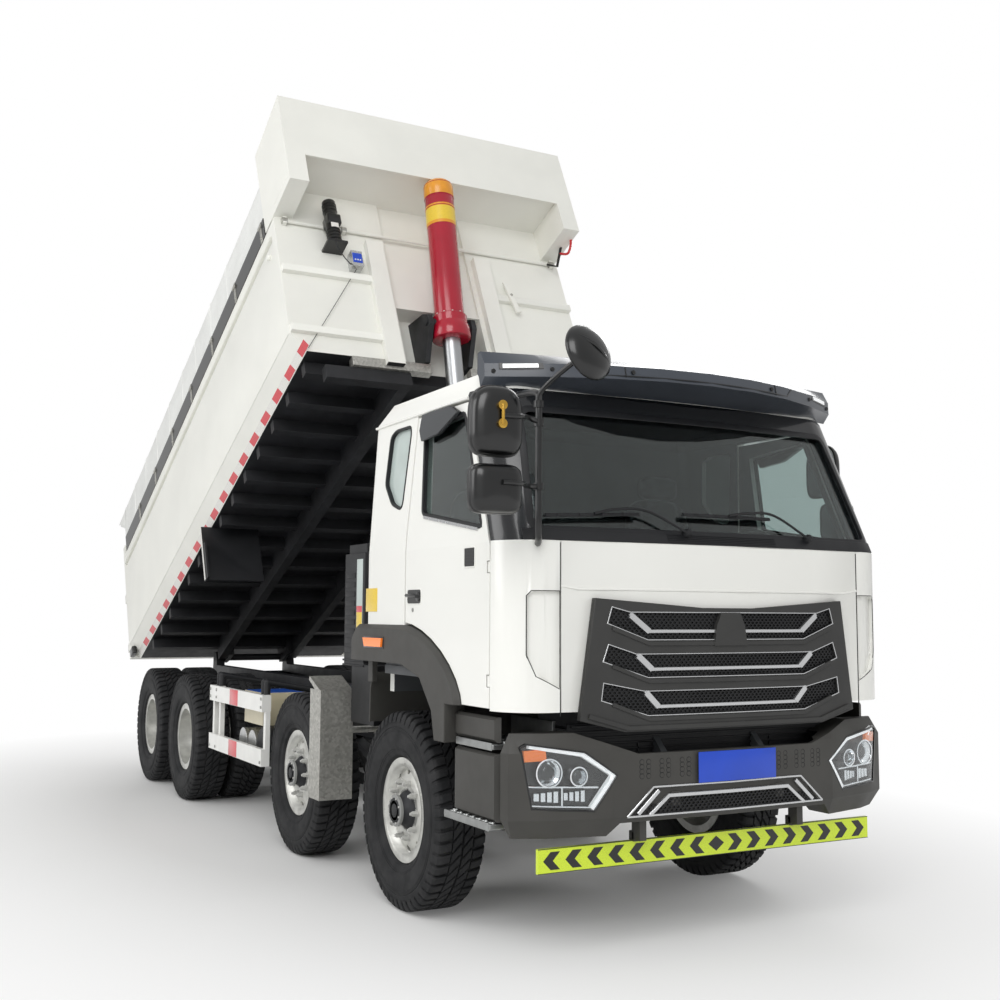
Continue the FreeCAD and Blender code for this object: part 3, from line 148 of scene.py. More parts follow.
# ---- surfaces ------------------------------------------------------------------------------------
class Shape:
    """Gathers surfaces, each a whole array of points, into one mesh."""

    def __init__(self, place=None):
        self.place = place
        self.points = []
        self.faces = []
        self.marks = []
        self.count = 0

    def add(self, points, faces, mark=0):
        """Points (n, 3) and an array of faces (m, k) that count from the first of them."""
        points = np.asarray(points, float).reshape(-1, 3)
        if self.place is not None:
            points = self.place(points)
        faces = (np.asarray(faces) + self.count).tolist()
        self.points.append(points)
        self.faces += faces
        self.marks += [mark] * len(faces)
        self.count += len(points)

    def grid(self, points, wrap_u=False, wrap_v=False, mark=0):
        """A surface P(u, v) given at (nu, nv) steps: quad (i, j) joins its four neighbours."""
        nu, nv = points.shape[:2]
        i = np.arange(nu if wrap_u else nu - 1)[:, None]
        j = np.arange(nv if wrap_v else nv - 1)[None, :]
        i2 = (i + 1) % nu
        j2 = (j + 1) % nv
        quads = np.stack([i * nv + j, i2 * nv + j, i2 * nv + j2, i * nv + j2], -1)
        self.add(points, quads.reshape(-1, 4), mark)

    def loft(self, rings, mark=0):
        """Closed rings (m, k, 3) joined into a skin, with the first and last ring filled in."""
        rings = np.asarray(rings, float)
        self.grid(rings, wrap_v=True, mark=mark)
        k = rings.shape[1]
        self.add(rings[0], [list(range(k))[::-1]], mark)
        self.add(rings[-1], [list(range(k))], mark)

    def lathe(self, profile, centre, axis, steps=48, mark=0, closed=False):
        """A profile of (t, r) turned about an axis: P = centre + t axis + r (cos a, sin a)."""
        axis = np.asarray(axis, float) / np.linalg.norm(axis)
        side = np.cross(axis, (0.0, 0.0, 1.0) if abs(axis[2]) < 0.9 else (1.0, 0.0, 0.0))
        side /= np.linalg.norm(side)
        other = np.cross(axis, side)
        profile = np.asarray(profile, float)
        a = np.linspace(0, 2 * math.pi, steps, endpoint=False)
        spoke = np.cos(a)[:, None] * side + np.sin(a)[:, None] * other
        points = np.asarray(centre) + profile[None, :, 0,
                                              None] * axis + profile[None, :, 1, None] * spoke[:, None]
        self.grid(points, wrap_u=True, wrap_v=closed, mark=mark)

    def tube(self, path, radius, steps=10, mark=0):
        """A round section carried along a path: each ring lies across the mean of its two runs."""
        path = np.asarray(path, float)
        along = np.gradient(path, axis=0)
        along /= np.linalg.norm(along, axis=1)[:, None]
        ref = np.array((0.0, 0.0, 1.0))
        if np.abs(along @ ref).max() > 0.95:
            ref = np.array((1.0, 0.0, 0.0)) if np.abs(along[:,
                                                            0]).max() < 0.95 else np.array((0.3, 0.9, 0.3))
        side = np.cross(along, ref)
        side /= np.linalg.norm(side, axis=1)[:, None]
        other = np.cross(along, side)
        a = np.linspace(0, 2 * math.pi, steps, endpoint=False)
        rings = path[:, None] + radius * (np.cos(a)[None, :, None] * side[:, None]
                                          + np.sin(a)[None, :, None] * other[:, None])
        self.loft(rings, mark)

    def block(self, low, high, edge=0.003, mark=0, steps=3):
        """A box with rounded edges: its plan is pulled in by 1 - cos b as the height rises by sin b."""
        low, high = np.minimum(low, high), np.maximum(low, high)
        edge = min(edge, 0.49 * (high - low).min())
        a = np.linspace(0, math.pi / 2, steps + 1)
        turns = np.concatenate([a + k * math.pi / 2 for k in range(4)])
        corner = np.repeat(np.array([(1, 1), (-1, 1), (-1, -1), (1, -1)], float), steps + 1, axis=0)
        middle = (low + high)[:2] / 2
        half = (high - low)[:2] / 2 - edge
        b = np.linspace(0, math.pi / 2, steps + 1)
        lift = np.concatenate([low[2] + edge * (1 - np.sin(b[::-1])), high[2] - edge * (1 - np.sin(b))])
        reach = np.concatenate([edge * np.cos(b[::-1]), edge * np.cos(b)])
        spoke = np.stack([np.cos(turns), np.sin(turns)], -1)
        plan = middle + corner * half + reach[:, None, None] * spoke
        self.loft(np.concatenate([plan, np.broadcast_to(lift[:, None, None], plan.shape[:2] + (1,))], -1),
                  mark)

    def slab(self, outline, low, high, axis=0, mark=0):
        """A flat outline (n, 2) in the plane across an axis, carried from low to high along it."""
        outline = np.asarray(outline, float)
        rings = [np.insert(outline, axis, value, axis=1) for value in (low, high)]
        self.loft(rings, mark)

    def piece(self, name, materials, body, replaces=(), sharp=35, merge=1e-5):
        """Makes the mesh object, with smooth faces up to the sharp angle, and rides it on a body."""
        mesh = bpy.data.meshes.new(name)
        mesh.from_pydata(np.concatenate(self.points).tolist(), [], self.faces)
        for material in materials:
            mesh.materials.append(material)
        mesh.polygons.foreach_set("material_index", np.array(self.marks, np.int32))
        tidy(mesh, merge, sharp)
        made = bpy.data.objects.new(name, mesh)
        bpy.context.scene.collection.objects.link(made)
        return carried(made, body, replaces)


def tidy(mesh, merge, sharp):
    """Joins doubled points, turns faces outwards and marks edges over the sharp angle."""
    work = bmesh.new()
    work.from_mesh(mesh)
    bmesh.ops.remove_doubles(work, verts=work.verts, dist=merge)
    bmesh.ops.dissolve_degenerate(work, edges=work.edges, dist=merge / 2)
    bmesh.ops.recalc_face_normals(work, faces=work.faces)
    work.to_mesh(mesh)
    work.free()
    mesh.polygons.foreach_set("use_smooth", np.ones(len(mesh.polygons), bool))
    mesh.set_sharp_from_angle(angle=math.radians(sharp))


def carried(made, body, replaces):
    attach(made, body)
    if replaces:
        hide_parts(*replaces)
    return made


def dressed(node, material, edge=0.0, sharp=32, steps=2, more=()):
    """A CAD node's own shape with merged points, rounded edges and a finish, in place of its triangles."""
    source = frame["nodes"][node]
    mesh = source.data.copy()
    mesh.materials.clear()
    for one in (material, *more):
        mesh.materials.append(one)
    mesh.polygons.foreach_set("material_index", np.zeros(len(mesh.polygons), np.int32))
    work = bmesh.new()
    work.from_mesh(mesh)
    bmesh.ops.remove_doubles(work, verts=work.verts, dist=2e-5)
    if edge:
        bmesh.ops.dissolve_limit(work, angle_limit=math.radians(1.5), verts=work.verts, edges=work.edges)
    work.to_mesh(mesh)
    work.free()
    mesh.polygons.foreach_set("use_smooth", np.ones(len(mesh.polygons), bool))
    mesh.set_sharp_from_angle(angle=math.radians(sharp))
    made = bpy.data.objects.new(node + "_skin", mesh)
    bpy.context.scene.collection.objects.link(made)
    if edge:
        bevel = made.modifiers.new("edges", "BEVEL")
        bevel.width = edge
        bevel.segments = steps
        bevel.limit_method = "ANGLE"
        bevel.angle_limit = math.radians(sharp)
        bevel.use_clamp_overlap = True
        bevel.harden_normals = False
    body = source["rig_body"]
    return carried(made, body, (node,))


def bed_place(points):
    """Body points (x, s, h), s forwards from the hinge and h up from the floor, as the body is raised."""
    points = np.asarray(points, float)
    rise = points[..., 2] + sizes().bed_rise
    y = HINGE[1] - points[..., 1] * math.cos(TILT) + rise * math.sin(TILT)
    z = HINGE[2] + points[..., 1] * math.sin(TILT) + rise * math.cos(TILT)
    return np.stack([points[..., 0] + MID, y, z], -1)


def mid_place(points):
    """Points counted across the truck from its middle plane."""
    return np.asarray(points, float) + (MID, 0, 0)


def nose_place(points):
    """Points counted across from the middle plane and along from the first axle."""
    return np.asarray(points, float) + (MID, NOSE, 0)


def handed(sign):
    """Points of the left side, or of the right side when the sign is -1, counted as in nose_place."""
    return lambda points: nose_place(np.asarray(points, float) * (sign, 1, 1))


def smooth_path(points, count):
    """A Catmull-Rom curve through the points: P = cubic of each four neighbours."""
    points = np.asarray(points, float)
    padded = np.concatenate([[2 * points[0] - points[1]], points, [2 * points[-1] - points[-2]]])
    t = np.linspace(0, len(points) - 1, count)
    i = np.minimum(t.astype(int), len(points) - 2)
    u = (t - i)[:, None]
    a, b, c, d = (padded[i + k] for k in range(4))
    return 0.5 * (2 * b + (c - a) * u + (2 * a - 5 * b + 4 * c - d) * u ** 2 + (3 * b - a - 3 * c + d) * u
                  ** 3)


# ---- materials -----------------------------------------------------------------------------------
def add(tree, kind, inputs=None, **settings):
    """Adds one shader node with its settings, and its inputs as constants or links."""
    node = tree.nodes.new("ShaderNode" + kind)
    for key, value in settings.items():
        setattr(node, key, value)
    for key, value in (inputs or {}).items():
        if isinstance(value, bpy.types.NodeSocket):
            tree.links.new(value, node.inputs[key])
        else:
            node.inputs[key].default_value = value
    return node


def finish(name, base, rough, **inputs):
    """A Principled material and its tree; inputs use the socket names with _ for spaces."""
    material = bpy.data.materials.new(name)
    material.use_nodes = True
    tree = material.node_tree
    shader = tree.nodes["Principled BSDF"]
    shader.inputs["Base Color"].default_value = base
    shader.inputs["Roughness"].default_value = rough
    for key, value in inputs.items():
        shader.inputs[key.replace("_", " ")].default_value = value
    return material, tree, shader


def where(tree):
    return add(tree, "TexCoord").outputs["Object"]


def grain(tree, shader, size, height, kind="noise", detail=3.0, spot=None):
    """Bump from a noise or cell pattern whose grains are size metres wide and height metres deep."""
    spot = spot or where(tree)
    if kind == "noise":
        pattern = add(tree, "TexNoise", {"Vector": spot, "Scale": 1 / size, "Detail": detail}).outputs[0]
    else:
        pattern = add(tree, "TexVoronoi", {"Vector": spot, "Scale": 1 / size}).outputs["Distance"]
    bump = add(tree, "Bump", {"Height": pattern, "Distance": height, "Strength": 1.0})
    tree.links.new(bump.outputs[0], shader.inputs["Normal"])
    return bump


def mottled(tree, shader, first, second, size, low=0.35, high=0.65, detail=4.0):
    """Base colour that wanders between two colours over patches of that size."""
    noise = add(tree, "TexNoise", {"Vector": where(tree), "Scale": 1 / size, "Detail": detail})
    ramp = add(tree, "ValToRGB", {"Fac": noise.outputs[0]})
    ramp.color_ramp.elements[0].position = low
    ramp.color_ramp.elements[0].color = first
    ramp.color_ramp.elements[1].position = high
    ramp.color_ramp.elements[1].color = second
    tree.links.new(ramp.outputs[0], shader.inputs["Base Color"])
    return ramp


def roughened(tree, shader, low, high, size):
    """Roughness that wanders between two values over patches of that size."""
    noise = add(tree, "TexNoise", {"Vector": where(tree), "Scale": 1 / size, "Detail": 3.0})
    span = add(tree, "MapRange", {"Value": noise.outputs[0], "To Min": low, "To Max": high})
    tree.links.new(span.outputs[0], shader.inputs["Roughness"])


def shade(base, factor):
    return tuple(min(1.0, c * factor) for c in base[:3]) + (1.0,)


def cab_enamel():
    """Two-pack gloss enamel, sprayed: bright reflections with a faint orange peel, 12 mm wide to show."""
    base = tint("cab")
    material, tree, shader = finish("gloss cab enamel", base, 0.2, IOR=1.5, Coat_Weight=0.35,
                                    Coat_Roughness=0.06)
    mottled(tree, shader, shade(base, 0.975), base, 0.9)
    grain(tree, shader, 0.012, 0.00006, detail=1.0)
    return material


def body_enamel():
    """Single-coat enamel on welded sheet: softer gloss, wavy panels and a little road dust."""
    base = tint("body")
    material, tree, shader = finish("semi-gloss body enamel", base, 0.34, IOR=1.5)
    mottled(tree, shader, shade(base, 0.95), base, 0.5)
    roughened(tree, shader, 0.28, 0.45, 0.4)
    waves = add(tree, "TexNoise", {"Vector": where(tree), "Scale": 2.6, "Detail": 1.0}).outputs[0]
    peel = add(tree, "TexNoise", {"Vector": where(tree), "Scale": 60.0, "Detail": 2.0}).outputs[0]
    soft = add(tree, "Bump", {"Height": waves, "Distance": 0.004, "Strength": 1.0})
    fine = add(tree, "Bump", {"Height": peel, "Distance": 0.00012, "Strength": 1.0,
                              "Normal": soft.outputs[0]})
    tree.links.new(fine.outputs[0], shader.inputs["Normal"])
    return material


def moulded_plastic(name="grained bumper plastic", which="plastic"):
    """Textured polypropylene: a fine leather-like grain, drawn 3 mm wide, that scatters the light."""
    base = tint(which)
    material, tree, shader = finish(name, base, 0.5, IOR=1.46)
    mottled(tree, shader, shade(base, 0.9), shade(base, 1.08), 0.25)
    roughened(tree, shader, 0.42, 0.6, 0.1)
    grain(tree, shader, 0.003, 0.00025, detail=2.0)
    return material


def visor_plastic():
    """Smooth moulded visor: blue grey with a soft gloss."""
    base = tint("visor")
    material, tree, shader = finish("visor moulding", base, 0.28, IOR=1.48, Coat_Weight=0.2,
                                    Coat_Roughness=0.15)
    mottled(tree, shader, shade(base, 0.92), shade(base, 1.05), 0.4)
    grain(tree, shader, 0.02, 0.0001, detail=1.0)
    return material


def chassis_paint(name="satin chassis paint", rough=0.42):
    """Satin black over rolled steel, dulled by a film of pale dust."""
    base = tint("chassis")
    material, tree, shader = finish(name, base, rough, IOR=1.5)
    mottled(tree, shader, base, shade(base, 2.1), 0.22, 0.45, 0.8)
    roughened(tree, shader, rough - 0.08, rough + 0.2, 0.12)
    grain(tree, shader, 0.015, 0.0004, detail=3.0)
    return material


def cast_iron():
    """Painted sand casting: dark, with the pitted skin of the mould."""
    material, tree, shader = finish("painted iron casting", linear("242527"), 0.55, Metallic=0.2)
    mottled(tree, shader, linear("1C1D1F"), linear("323336"), 0.15)
    grain(tree, shader, 0.006, 0.0006, kind="cells")
    return material


def tyre_rubber():
    """Carbon-black rubber: matt, with a trace of grey dust and fine moulding texture."""
    material, tree, shader = finish("tyre rubber", linear("1E1F21"), 0.72, IOR=1.5, Specular_IOR_Level=0.35)
    mottled(tree, shader, linear("191A1C"), linear("2D2D2E"), 0.12, 0.35, 0.75)
    roughened(tree, shader, 0.6, 0.85, 0.05)
    grain(tree, shader, 0.004, 0.0003, detail=3.0)
    return material


def wheel_silver():
    """Silver wheel lacquer on pressed steel: fine flake, slightly clouded."""
    material, tree, shader = finish("silver wheel lacquer", linear("CFCFC9"), 0.32, Metallic=0.55,
                                    Coat_Weight=0.3, Coat_Roughness=0.2)
    mottled(tree, shader, linear("BDBDB8"), linear("D9D9D3"), 0.08)
    roughened(tree, shader, 0.28, 0.46, 0.05)
    grain(tree, shader, 0.003, 0.00008)
    return material


def zinc_sheet():
    """Hot-dip galvanised sheet: crystals about 15 mm wide that each catch the light differently."""
    material, tree, shader = finish("galvanised sheet", linear("B2B1AB"), 0.42, Metallic=0.75)
    cells = add(tree, "TexVoronoi", {"Vector": where(tree), "Scale": 65.0})
    ramp = add(tree, "ValToRGB", {"Fac": cells.outputs["Color"]})
    ramp.color_ramp.elements[0].color = linear("9C9B95")
    ramp.color_ramp.elements[1].color = linear("C4C3BD")
    tree.links.new(ramp.outputs[0], shader.inputs["Base Color"])
    roughened(tree, shader, 0.32, 0.55, 0.02)
    grain(tree, shader, 0.05, 0.0006)
    return material


def bright_sheet(name="rolled aluminium", hex_colour="C2C3C1", rough=0.33):
    """Rolled aluminium: long faint streaks along the roll."""
    material, tree, shader = finish(name, linear(hex_colour), rough, Metallic=0.9)
    stretched = add(tree, "Mapping", {"Vector": where(tree), "Scale": (90.0, 4.0, 90.0)})
    lines = add(tree, "TexNoise", {"Vector": stretched.outputs[0], "Scale": 1.0, "Detail": 3.0})
    span = add(tree, "MapRange", {"Value": lines.outputs[0], "To Min": rough - 0.1, "To Max": rough + 0.16})
    tree.links.new(span.outputs[0], shader.inputs["Roughness"])
    mottled(tree, shader, shade(linear(hex_colour), 0.85), linear(hex_colour), 0.06)
    return material


def chrome(name="bright chrome", rough=0.06, hex_colour="D6D8DA"):
    """Hard chrome, ground: a near mirror with faint cloudy smears."""
    material, tree, shader = finish(name, linear(hex_colour), rough, Metallic=1.0)
    roughened(tree, shader, rough, rough + 0.12, 0.06)
    return material


def satin_trim():
    """Satin silver trim on moulded plastic."""
    material, tree, shader = finish("satin silver trim", linear("C9CACB"), 0.24, Metallic=0.85)
    roughened(tree, shader, 0.18, 0.34, 0.03)
    return material


def enamel(name, base, rough=0.25, size=0.2):
    """Plain gloss paint with slight clouding."""
    material, tree, shader = finish(name, base, rough, IOR=1.5, Coat_Weight=0.3, Coat_Roughness=0.1)
    mottled(tree, shader, shade(base, 0.9), base, size)
    grain(tree, shader, 0.02, 0.00008, detail=1.0)
    return material


def cover_cloth():
    """Coated polyester cover: a plain weave, drawn 8 mm wide to show, soft folds and a waxy gloss."""
    base = tint("cover")
    material, tree, shader = finish("coated cover cloth", base, 0.46, IOR=1.45, Sheen_Weight=0.15,
                                    Sheen_Roughness=0.4)
    spot = add(tree, "UVMap").outputs[0]
    fine = add(tree, "Mapping", {"Vector": spot, "Scale": (125.0, 125.0, 1.0)})
    weave = add(tree, "TexChecker", {"Vector": fine.outputs[0], "Scale": 1.0}).outputs["Fac"]
    long_folds = add(tree, "Mapping", {"Vector": spot, "Scale": (0.7, 3.6, 1.0)})
    folds = add(tree, "TexNoise", {"Vector": long_folds.outputs[0], "Scale": 1.0, "Detail": 5.0,
                                   "Roughness": 0.55})
    soft = add(tree, "Bump", {"Height": folds.outputs[0], "Distance": 0.05, "Strength": 0.9})
    threads = add(tree, "Bump", {"Height": weave, "Distance": 0.0002, "Strength": 0.6,
                                 "Normal": soft.outputs[0]})
    tree.links.new(threads.outputs[0], shader.inputs["Normal"])
    mottled(tree, shader, shade(base, 0.93), base, 0.35)
    return material


def seat_cloth():
    """Woven polyester seat cloth with a 4 mm ribbed weave."""
    material, tree, shader = finish("ribbed seat cloth", linear("3A3D42"), 0.85, Sheen_Weight=0.4,
                                    Sheen_Roughness=0.5)
    rib = add(tree, "TexWave", {"Vector": where(tree), "Scale": 80.0, "Distortion": 1.5},
              bands_direction="X")
    bump = add(tree, "Bump", {"Height": rib.outputs[0], "Distance": 0.001, "Strength": 0.7})
    tree.links.new(bump.outputs[0], shader.inputs["Normal"])
    mottled(tree, shader, linear("2E3034"), linear("45484D"), 0.05)
    return material


def tinted_glass(name, hex_colour, rough=0.0):
    """Laminated green-grey glass: it shows the dark cab behind it and mirrors the sky."""
    return finish(name, linear(hex_colour), rough, IOR=1.5, Transmission_Weight=1.0)[0]


def lamp_lens(name, hex_colour, rough=0.08, glow=0.0):
    """Moulded acrylic lens with fine flutes."""
    material, tree, shader = finish(name, linear(hex_colour), rough, IOR=1.49, Coat_Weight=0.6,
                                    Coat_Roughness=0.03)
    if glow:
        shader.inputs["Emission Color"].default_value = linear(hex_colour)
        shader.inputs["Emission Strength"].default_value = glow
    flutes = add(tree, "TexWave", {"Vector": where(tree), "Scale": 60.0}, bands_direction="X")
    bump = add(tree, "Bump", {"Height": flutes.outputs[0], "Distance": 0.0008, "Strength": 0.5})
    tree.links.new(bump.outputs[0], shader.inputs["Normal"])
    return material


def reflective_tape(name, hex_colour):
    """Prismatic reflective sheet: honeycomb cells about 8 mm wide under a clear skin."""
    base = linear(hex_colour)
    material, tree, shader = finish(name, base, 0.3, Coat_Weight=0.4, Coat_Roughness=0.12)
    cells = add(tree, "TexVoronoi", {"Vector": where(tree), "Scale": 120.0}, feature="DISTANCE_TO_EDGE")
    span = add(tree, "MapRange", {"Value": cells.outputs[0], "From Max": 0.1, "To Min": 0.0, "To Max": 1.0})
    mix = add(tree, "Mix", {"Factor": span.outputs[0], "A": shade(base, 0.8), "B": base}, data_type="RGBA")
    tree.links.new(mix.outputs["Result"], shader.inputs["Base Color"])
    return material


STOCK = {}


def stock(name):
    """Each finish is made once, when a piece first asks for it."""
    makers = {
        "cab": cab_enamel,
        "body": body_enamel,
        "plastic": moulded_plastic,
        "visor": visor_plastic,
        "chassis": chassis_paint,
        "under": lambda: chassis_paint("underbody paint", 0.55),
        "iron": cast_iron,
        "rubber": tyre_rubber,
        "silver": wheel_silver,
        "zinc": zinc_sheet,
        "sheet": bright_sheet,
        "tread": lambda: bright_sheet("stamped tread plate", "A9ABAA", 0.4),
        "tank": lambda: bright_sheet("polished tank sheet", "C9CACA", 0.28),
        "chrome": chrome,
        "rod": lambda: chrome("ground hard chrome", 0.14, "C3C5C8"),
        "reflector": lambda: chrome("vapour-coated reflector", 0.03, "E4E6E8"),
        "trim": satin_trim,
        "hoist": lambda: enamel("red hoist enamel", tint("hoist"), 0.2),
        "band": lambda: enamel("orange band enamel", tint("hoist_band"), 0.3, 0.03),
        "cloth": cover_cloth,
        "seat": seat_cloth,
        "screen": lambda: tinted_glass("tinted screen glass", "B9C6C4"),
        # opaque pale pane: on the quarter windows its pale colour is a painted reflection; the intake
        # column's strip uses it too
        "quarter": lambda: enamel("pale tinted pane", linear("BFCBC7"), 0.06),
        "black": lambda: enamel("gloss black moulding", linear("08090A"), 0.3),
        "liner": lambda: moulded_plastic("grey trim plastic", "liner"),
        "smoke": lambda: enamel("smoked acrylic", linear("2B2F33"), 0.08),
        "brass": lambda: chrome("brass plated clamp", 0.22, "C9A14A"),
        "beige": lambda: enamel("beige tank moulding", linear("CFC6A8"), 0.4),
        "blue_cap": lambda: enamel("blue filler cap", linear("1E56B8"), 0.35),
        "cloth_edge": lambda: enamel("welded cloth hem", linear("F0F1EE"), 0.5),
        "hub": lambda: enamel("grey painted hub", linear("8E8F8D"), 0.4),
        "nut": lambda: enamel("silvered wheel nut", linear("BDBDB9"), 0.3),
        "grille": lambda: moulded_plastic("dark grille plastic", "grille"),
        "hole": lambda: enamel("dimple shadow", linear("0B0B0C"), 0.7),
        "stage": lambda: chrome("ground steel stage", 0.3, "B9BBBD"),
        "matt": lambda: moulded_plastic("matt black moulding", "chassis"),
        "mirror": lambda: chrome("silvered mirror", 0.01, "DDE3E6"),
        "lens": lambda: tinted_glass("clear lamp cover", "F2F5F6"),
        "white_lamp": lambda: lamp_lens("daylight bar", "F4F6F7", 0.15, 0.35),
        "orange_lamp": lambda: lamp_lens("amber lens", "F07A1E", 0.12, 0.25),
        "red_lamp": lambda: lamp_lens("red lens", "B5121B", 0.12, 0.15),
        "red_tape": lambda: reflective_tape("red reflective tape", "D8434C"),
        "white_tape": lambda: reflective_tape("white reflective tape", "E9E7E2"),
        "yellow_tape": lambda: reflective_tape("yellow reflective tape", "EBC93A"),
        "board": lambda: reflective_tape("yellow green board sheet", "D9F02E"),
        "plate": lambda: enamel("blank blue plate", tint("plate"), 0.35),
        "guard": lambda: enamel("white guard paint", linear("EBEBE7"), 0.35),
        "bolt": lambda: chrome("zinc plated bolt", 0.3, "A9AAA6"),
    }
    if name not in STOCK:
        STOCK[name] = makers[name]()
    return STOCK[name]


# ---- tyres and wheels ----------------------------------------------------------------------------
def tyre_surface(shape, x, y, out):
    """Carcass turned from its profile, and lugs: rings of six points carried along each lug's own profile.

    A lug's ring at station (u, r, d) is an arc at radius r, sunk by d, and runs over the angles a +- w;
    out is the side its outer face looks to, and only turns the lugs' slant.
    """
    r = sizes().tyre_radius
    half = sizes().tyre_width / 2
    base = r - sizes().groove
    lugs = sizes().lugs
    side = [(-0.0975, 0.2556), (-0.0975, 0.2915), (-0.112, 0.297), (-0.121, 0.305), (-0.125, 0.307),
            (-0.132, 0.325), (-half + 0.005, 0.36), (-half + 0.001, 0.40), (-half, 0.43),
            (-half + 0.001, 0.455), (-half + 0.0045, 0.458), (-half + 0.0045, 0.462), (-half + 0.002, 0.465),
            (-half + 0.004, 0.49), (-half + 0.012, 0.515), (-half + 0.022, base - 0.006),
            (-half + 0.045, base), (-0.04, base + 0.002)]
    profile = side + [(-u, radius) for u, radius in side[::-1]]
    shape.lathe(profile, (x, y, HUB_Z), (1, 0, 0), steps=lugs * 2, closed=True)
    for radius, deep in ((0.335, 0.0015), (0.345, 0.0015), (0.44, 0.0012), (0.447, 0.0012)):
        for flank in (-1, 1):
            at = x + flank * np.interp(radius, [p[1] for p in side[4:12]], [-p[0] for p in side[4:12]])
            ring = [(-0.001, radius - 0.003), (deep, radius - 0.002), (deep, radius + 0.002),
                    (-0.001, radius + 0.003)]
            shape.lathe([(flank * u, v) for u, v in ring], (at, y, HUB_Z), (1, 0, 0), steps=lugs,
                        closed=True)
    shoulder = [(-half + 0.001, 0.492, 0.004), (-half + 0.004, 0.51, 0.006),
                (-half + 0.014, r - 0.012, 0.02), (-half + 0.026, r - 0.003, 0.022),
                (-half + 0.036, r - 0.001, 0.022), (-0.066, r, 0.022)]
    centre = [(-0.058, r, 0.022), (-0.030, r, 0.022), (-0.0065, r, 0.022)]
    # (stations, half width of a lug in pitches, its start in pitches, slant) of each row of lugs
    rows = [(shoulder, 0.33, 0.0, 0.10), (centre, 0.36, 0.5, 0.55),
            ([(-u, top, deep) for u, top, deep in centre[::-1]], 0.36, 0.0, 0.55),
            ([(-u, top, deep) for u, top, deep in shoulder[::-1]], 0.33, 0.5, 0.10)]
    pitch = 2 * math.pi / lugs
    turn = np.arange(lugs) * pitch
    for stations, width, phase, slant in rows:
        stations = np.array(stations)
        u, top, deep = stations[:, 0], stations[:, 1], stations[:, 2]
        lean = out * slant * pitch * (u - u.mean()) / 0.03
        w = width * pitch
        c = 0.0028 / r
        spans = np.array([-w - c, -w, -w + c, w - c, w, w + c])
        sinks = np.stack([deep, np.full_like(deep, 0.0028), 0 * deep, 0 * deep, np.full_like(deep, 0.0028),
                          deep], 1)
        angle = turn[:, None, None] + phase * pitch + lean[None, :, None] + spans[None, None, :]
        radius = (top[:, None] - sinks)[None]
        points = np.stack([np.broadcast_to(x + u[None, :, None], angle.shape), y + radius * np.sin(angle),
                           HUB_Z - radius * np.cos(angle)], -1)
        for block in points:
            shape.loft(block)


def build_tyres():
    """Tyres with lugged shoulders, staggered middle blocks, bead and scuff rings, and no lettering."""
    for side, sign in SIDES:
        for axle in (1, 2, 3, 4):
            node = "tyre_%d_%s" % (axle, side)
            low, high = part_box(node)
            shape = Shape()
            y = (low.y + high.y) / 2
            if axle <= 2:
                tyre_surface(shape, (low.x + high.x) / 2, y, sign)
            else:
                half = sizes().tyre_width / 2
                tyre_surface(shape, low.x + half, y, sign)
                tyre_surface(shape, high.x - half, y, -sign)
            shape.piece("tread_%d_%s" % (axle, side), [stock("rubber")], "wheels_%s_%d" % (side, axle),
                        (node,), sharp=28)


def paint(made, mark, chosen):
    """Gives a material number to the faces that the rule picks by their middles and normals. The middles are
    counted from the truck's middle plane."""
    mesh = made.data
    count = len(mesh.polygons)
    middles = np.empty(count * 3)
    normals = np.empty(count * 3)
    marks = np.empty(count, np.int32)
    mesh.polygons.foreach_get("center", middles)
    mesh.polygons.foreach_get("normal", normals)
    mesh.polygons.foreach_get("material_index", marks)
    marks[chosen(middles.reshape(-1, 3) - (MID, 0, 0), normals.reshape(-1, 3))] = mark
    mesh.polygons.foreach_set("material_index", marks)


def hexagon(radius, turn=0.0):
    a = np.arange(6) * math.pi / 3 + turn
    return np.stack([radius * np.cos(a), radius * np.sin(a)], -1)


